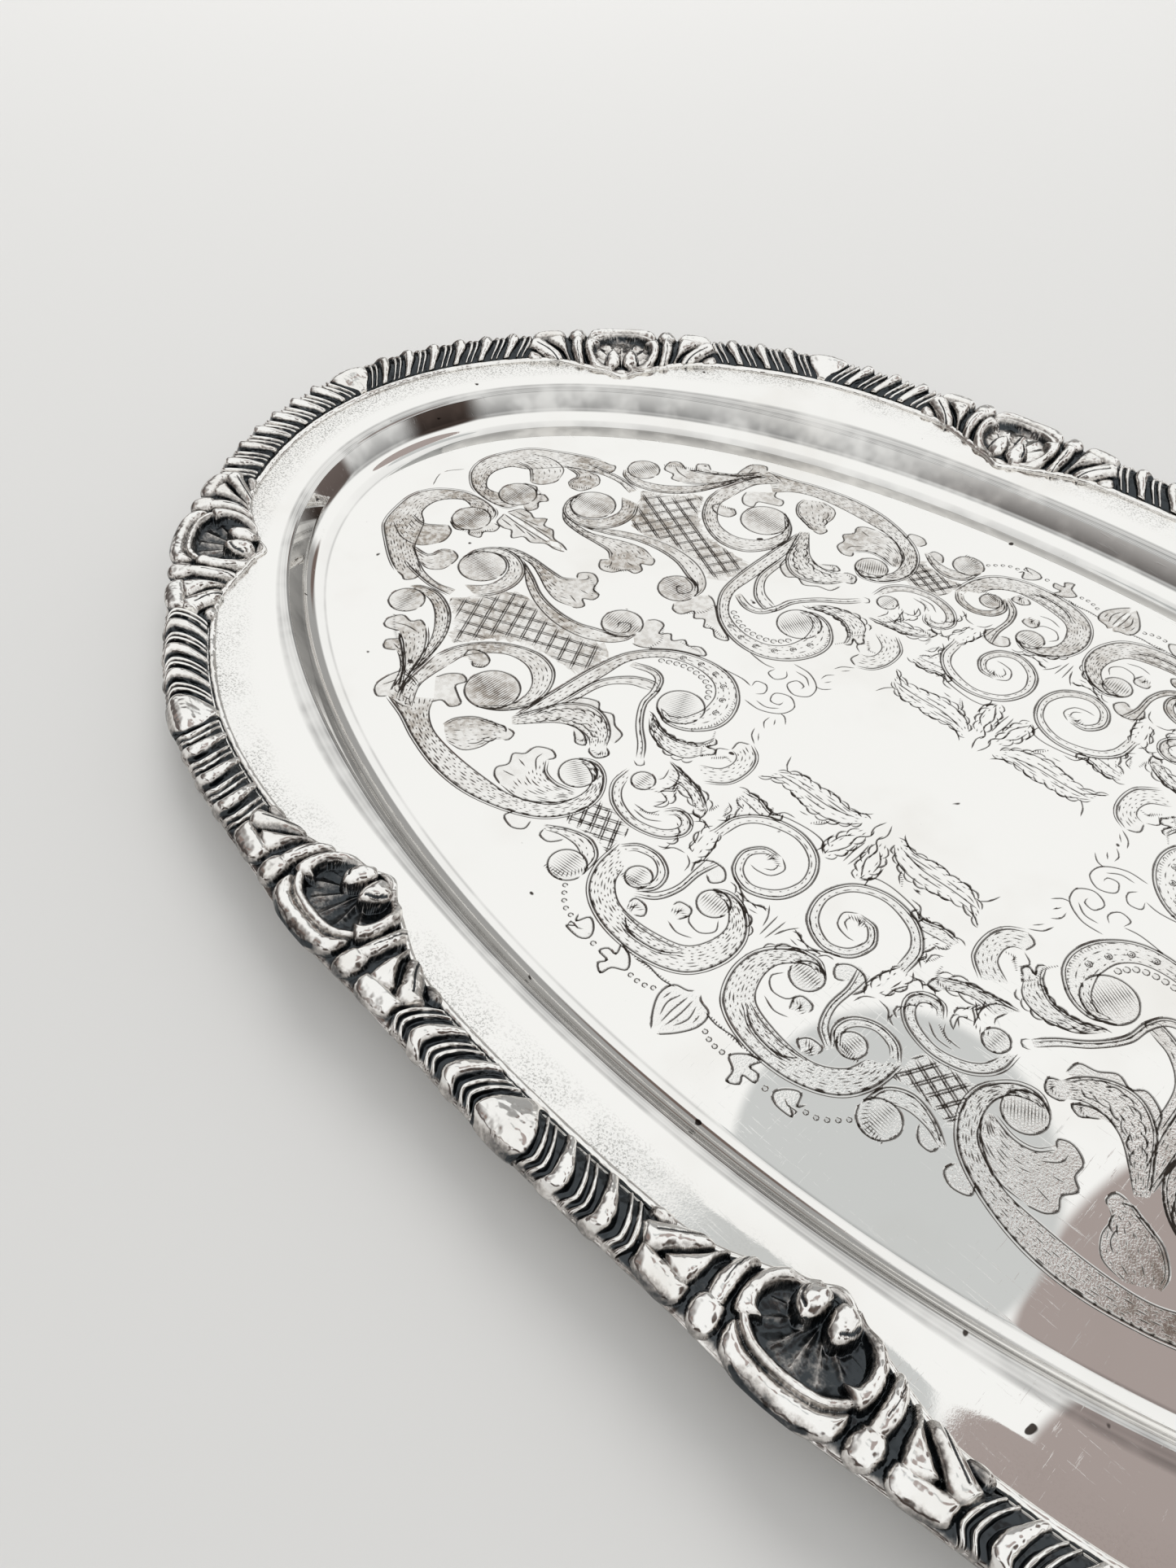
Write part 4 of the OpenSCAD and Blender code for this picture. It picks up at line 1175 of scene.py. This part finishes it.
# Patches in the white surroundings that the silver reflects: a direction, the degrees that a patch
# spans, how soft its edge is, and its colour
SHADES = (
    ((0.80, 0.20, 0.50), 15, 5, (0.10, 0.075, 0.065, 1)),
    ((0.22, 0.50, 0.84), 13, 0.3, (0.40, 0.345, 0.33, 1)),
    ((-0.12, 0.47, 0.88), 7, 0.3, (0.62, 0.64, 0.64, 1)),
    ((-0.80, -0.42, 0.42), 27, 13, (0.36, 0.345, 0.335, 1)),
    ((0.30, -0.93, 0.0), 22, 6, (0.085, 0.065, 0.058, 1)),
    ((-0.18, -0.93, 0.30), 10, 6, (0.30, 0.26, 0.24, 1)),
    ((-0.95, -0.28, 0.0), 27, 9, (0.12, 0.105, 0.1, 1)),
    ((-0.66, -0.75, 0.0), 20, 5, (0.12, 0.10, 0.095, 1)),
    ((-0.66, -0.50, 0.56), 9, 2, (0.26, 0.20, 0.18, 1)),
    ((-0.15, -0.96, 0.16), 9, 2.5, (0.9, 0.9, 0.9, 1)),
    ((0.30, 0.95, 0.10), 11, 3, (0.16, 0.13, 0.12, 1)),
    ((-0.42, 0.90, 0.12), 19, 3, (0.36, 0.36, 0.355, 1)),
    ((-0.27, 0.88, 0.38), 5, 2, (0.17, 0.13, 0.115, 1)),
    ((-0.88, 0.42, 0.0), 22, 8, (0.16, 0.145, 0.14, 1)),
)


def stage_floor():
    n = Nodes(bpy.data.materials.new("pale_floor"))
    n.shader.inputs["Base Color"].default_value = FLOOR_GREY
    n.shader.inputs["Roughness"].default_value = 0.85
    mesh = bpy.data.meshes.new("floor")
    corners = [(x * FLOOR_HALF, y * FLOOR_HALF, 0) for x, y in ((-1, -1), (1, -1), (1, 1), (-1, 1))]
    mesh.from_pydata(corners, [], [(0, 1, 2, 3)])
    mesh.materials.append(n.owner)
    obj = bpy.data.objects.new("floor", mesh)
    bpy.context.scene.collection.objects.link(obj)


stage_floor()


def light(name, at_m, aim_m, size, power, colour=(1, 1, 1)):
    data = bpy.data.lights.new(name, "AREA")
    data.shape, data.size, data.energy, data.color = "DISK", size, power, colour
    obj = bpy.data.objects.new(name, data)
    obj.location = at_m
    obj.rotation_euler = (Vector(aim_m) - Vector(at_m)).to_track_quat("-Z", "Y").to_euler()
    obj.visible_glossy = False
    bpy.context.scene.collection.objects.link(obj)


def studio():
    world = bpy.data.worlds.new("studio")
    bpy.context.scene.world = world
    n = Nodes(world, "Background")
    ways = n.add("TexCoord").outputs["Generated"]
    colour = SURROUNDINGS
    for way, span, edge, shade in SHADES:
        aim = Vector(way).normalized()
        dot = n.add("VectorMath", {0: ways, 1: aim}, operation="DOT_PRODUCT").outputs["Value"]
        rim, core = (math.cos(math.radians(a)) for a in (span + edge, span - edge))
        colour = n.mix(n.ramp(dot, rim, core), colour, shade)
    # the patches light the silver and show in it, and the backdrop itself is plain
    seen = n.add("LightPath").outputs["Is Camera Ray"]
    n.put(n.shader.inputs["Color"], n.mix(seen, colour, BACKDROP))
    light("window", (-0.9, 0.7, 1.1), (-0.25, 0.2, 0), 0.9, 9, (1, 0.995, 0.985))
    bpy.context.scene.view_settings.view_transform = "Standard"


studio()
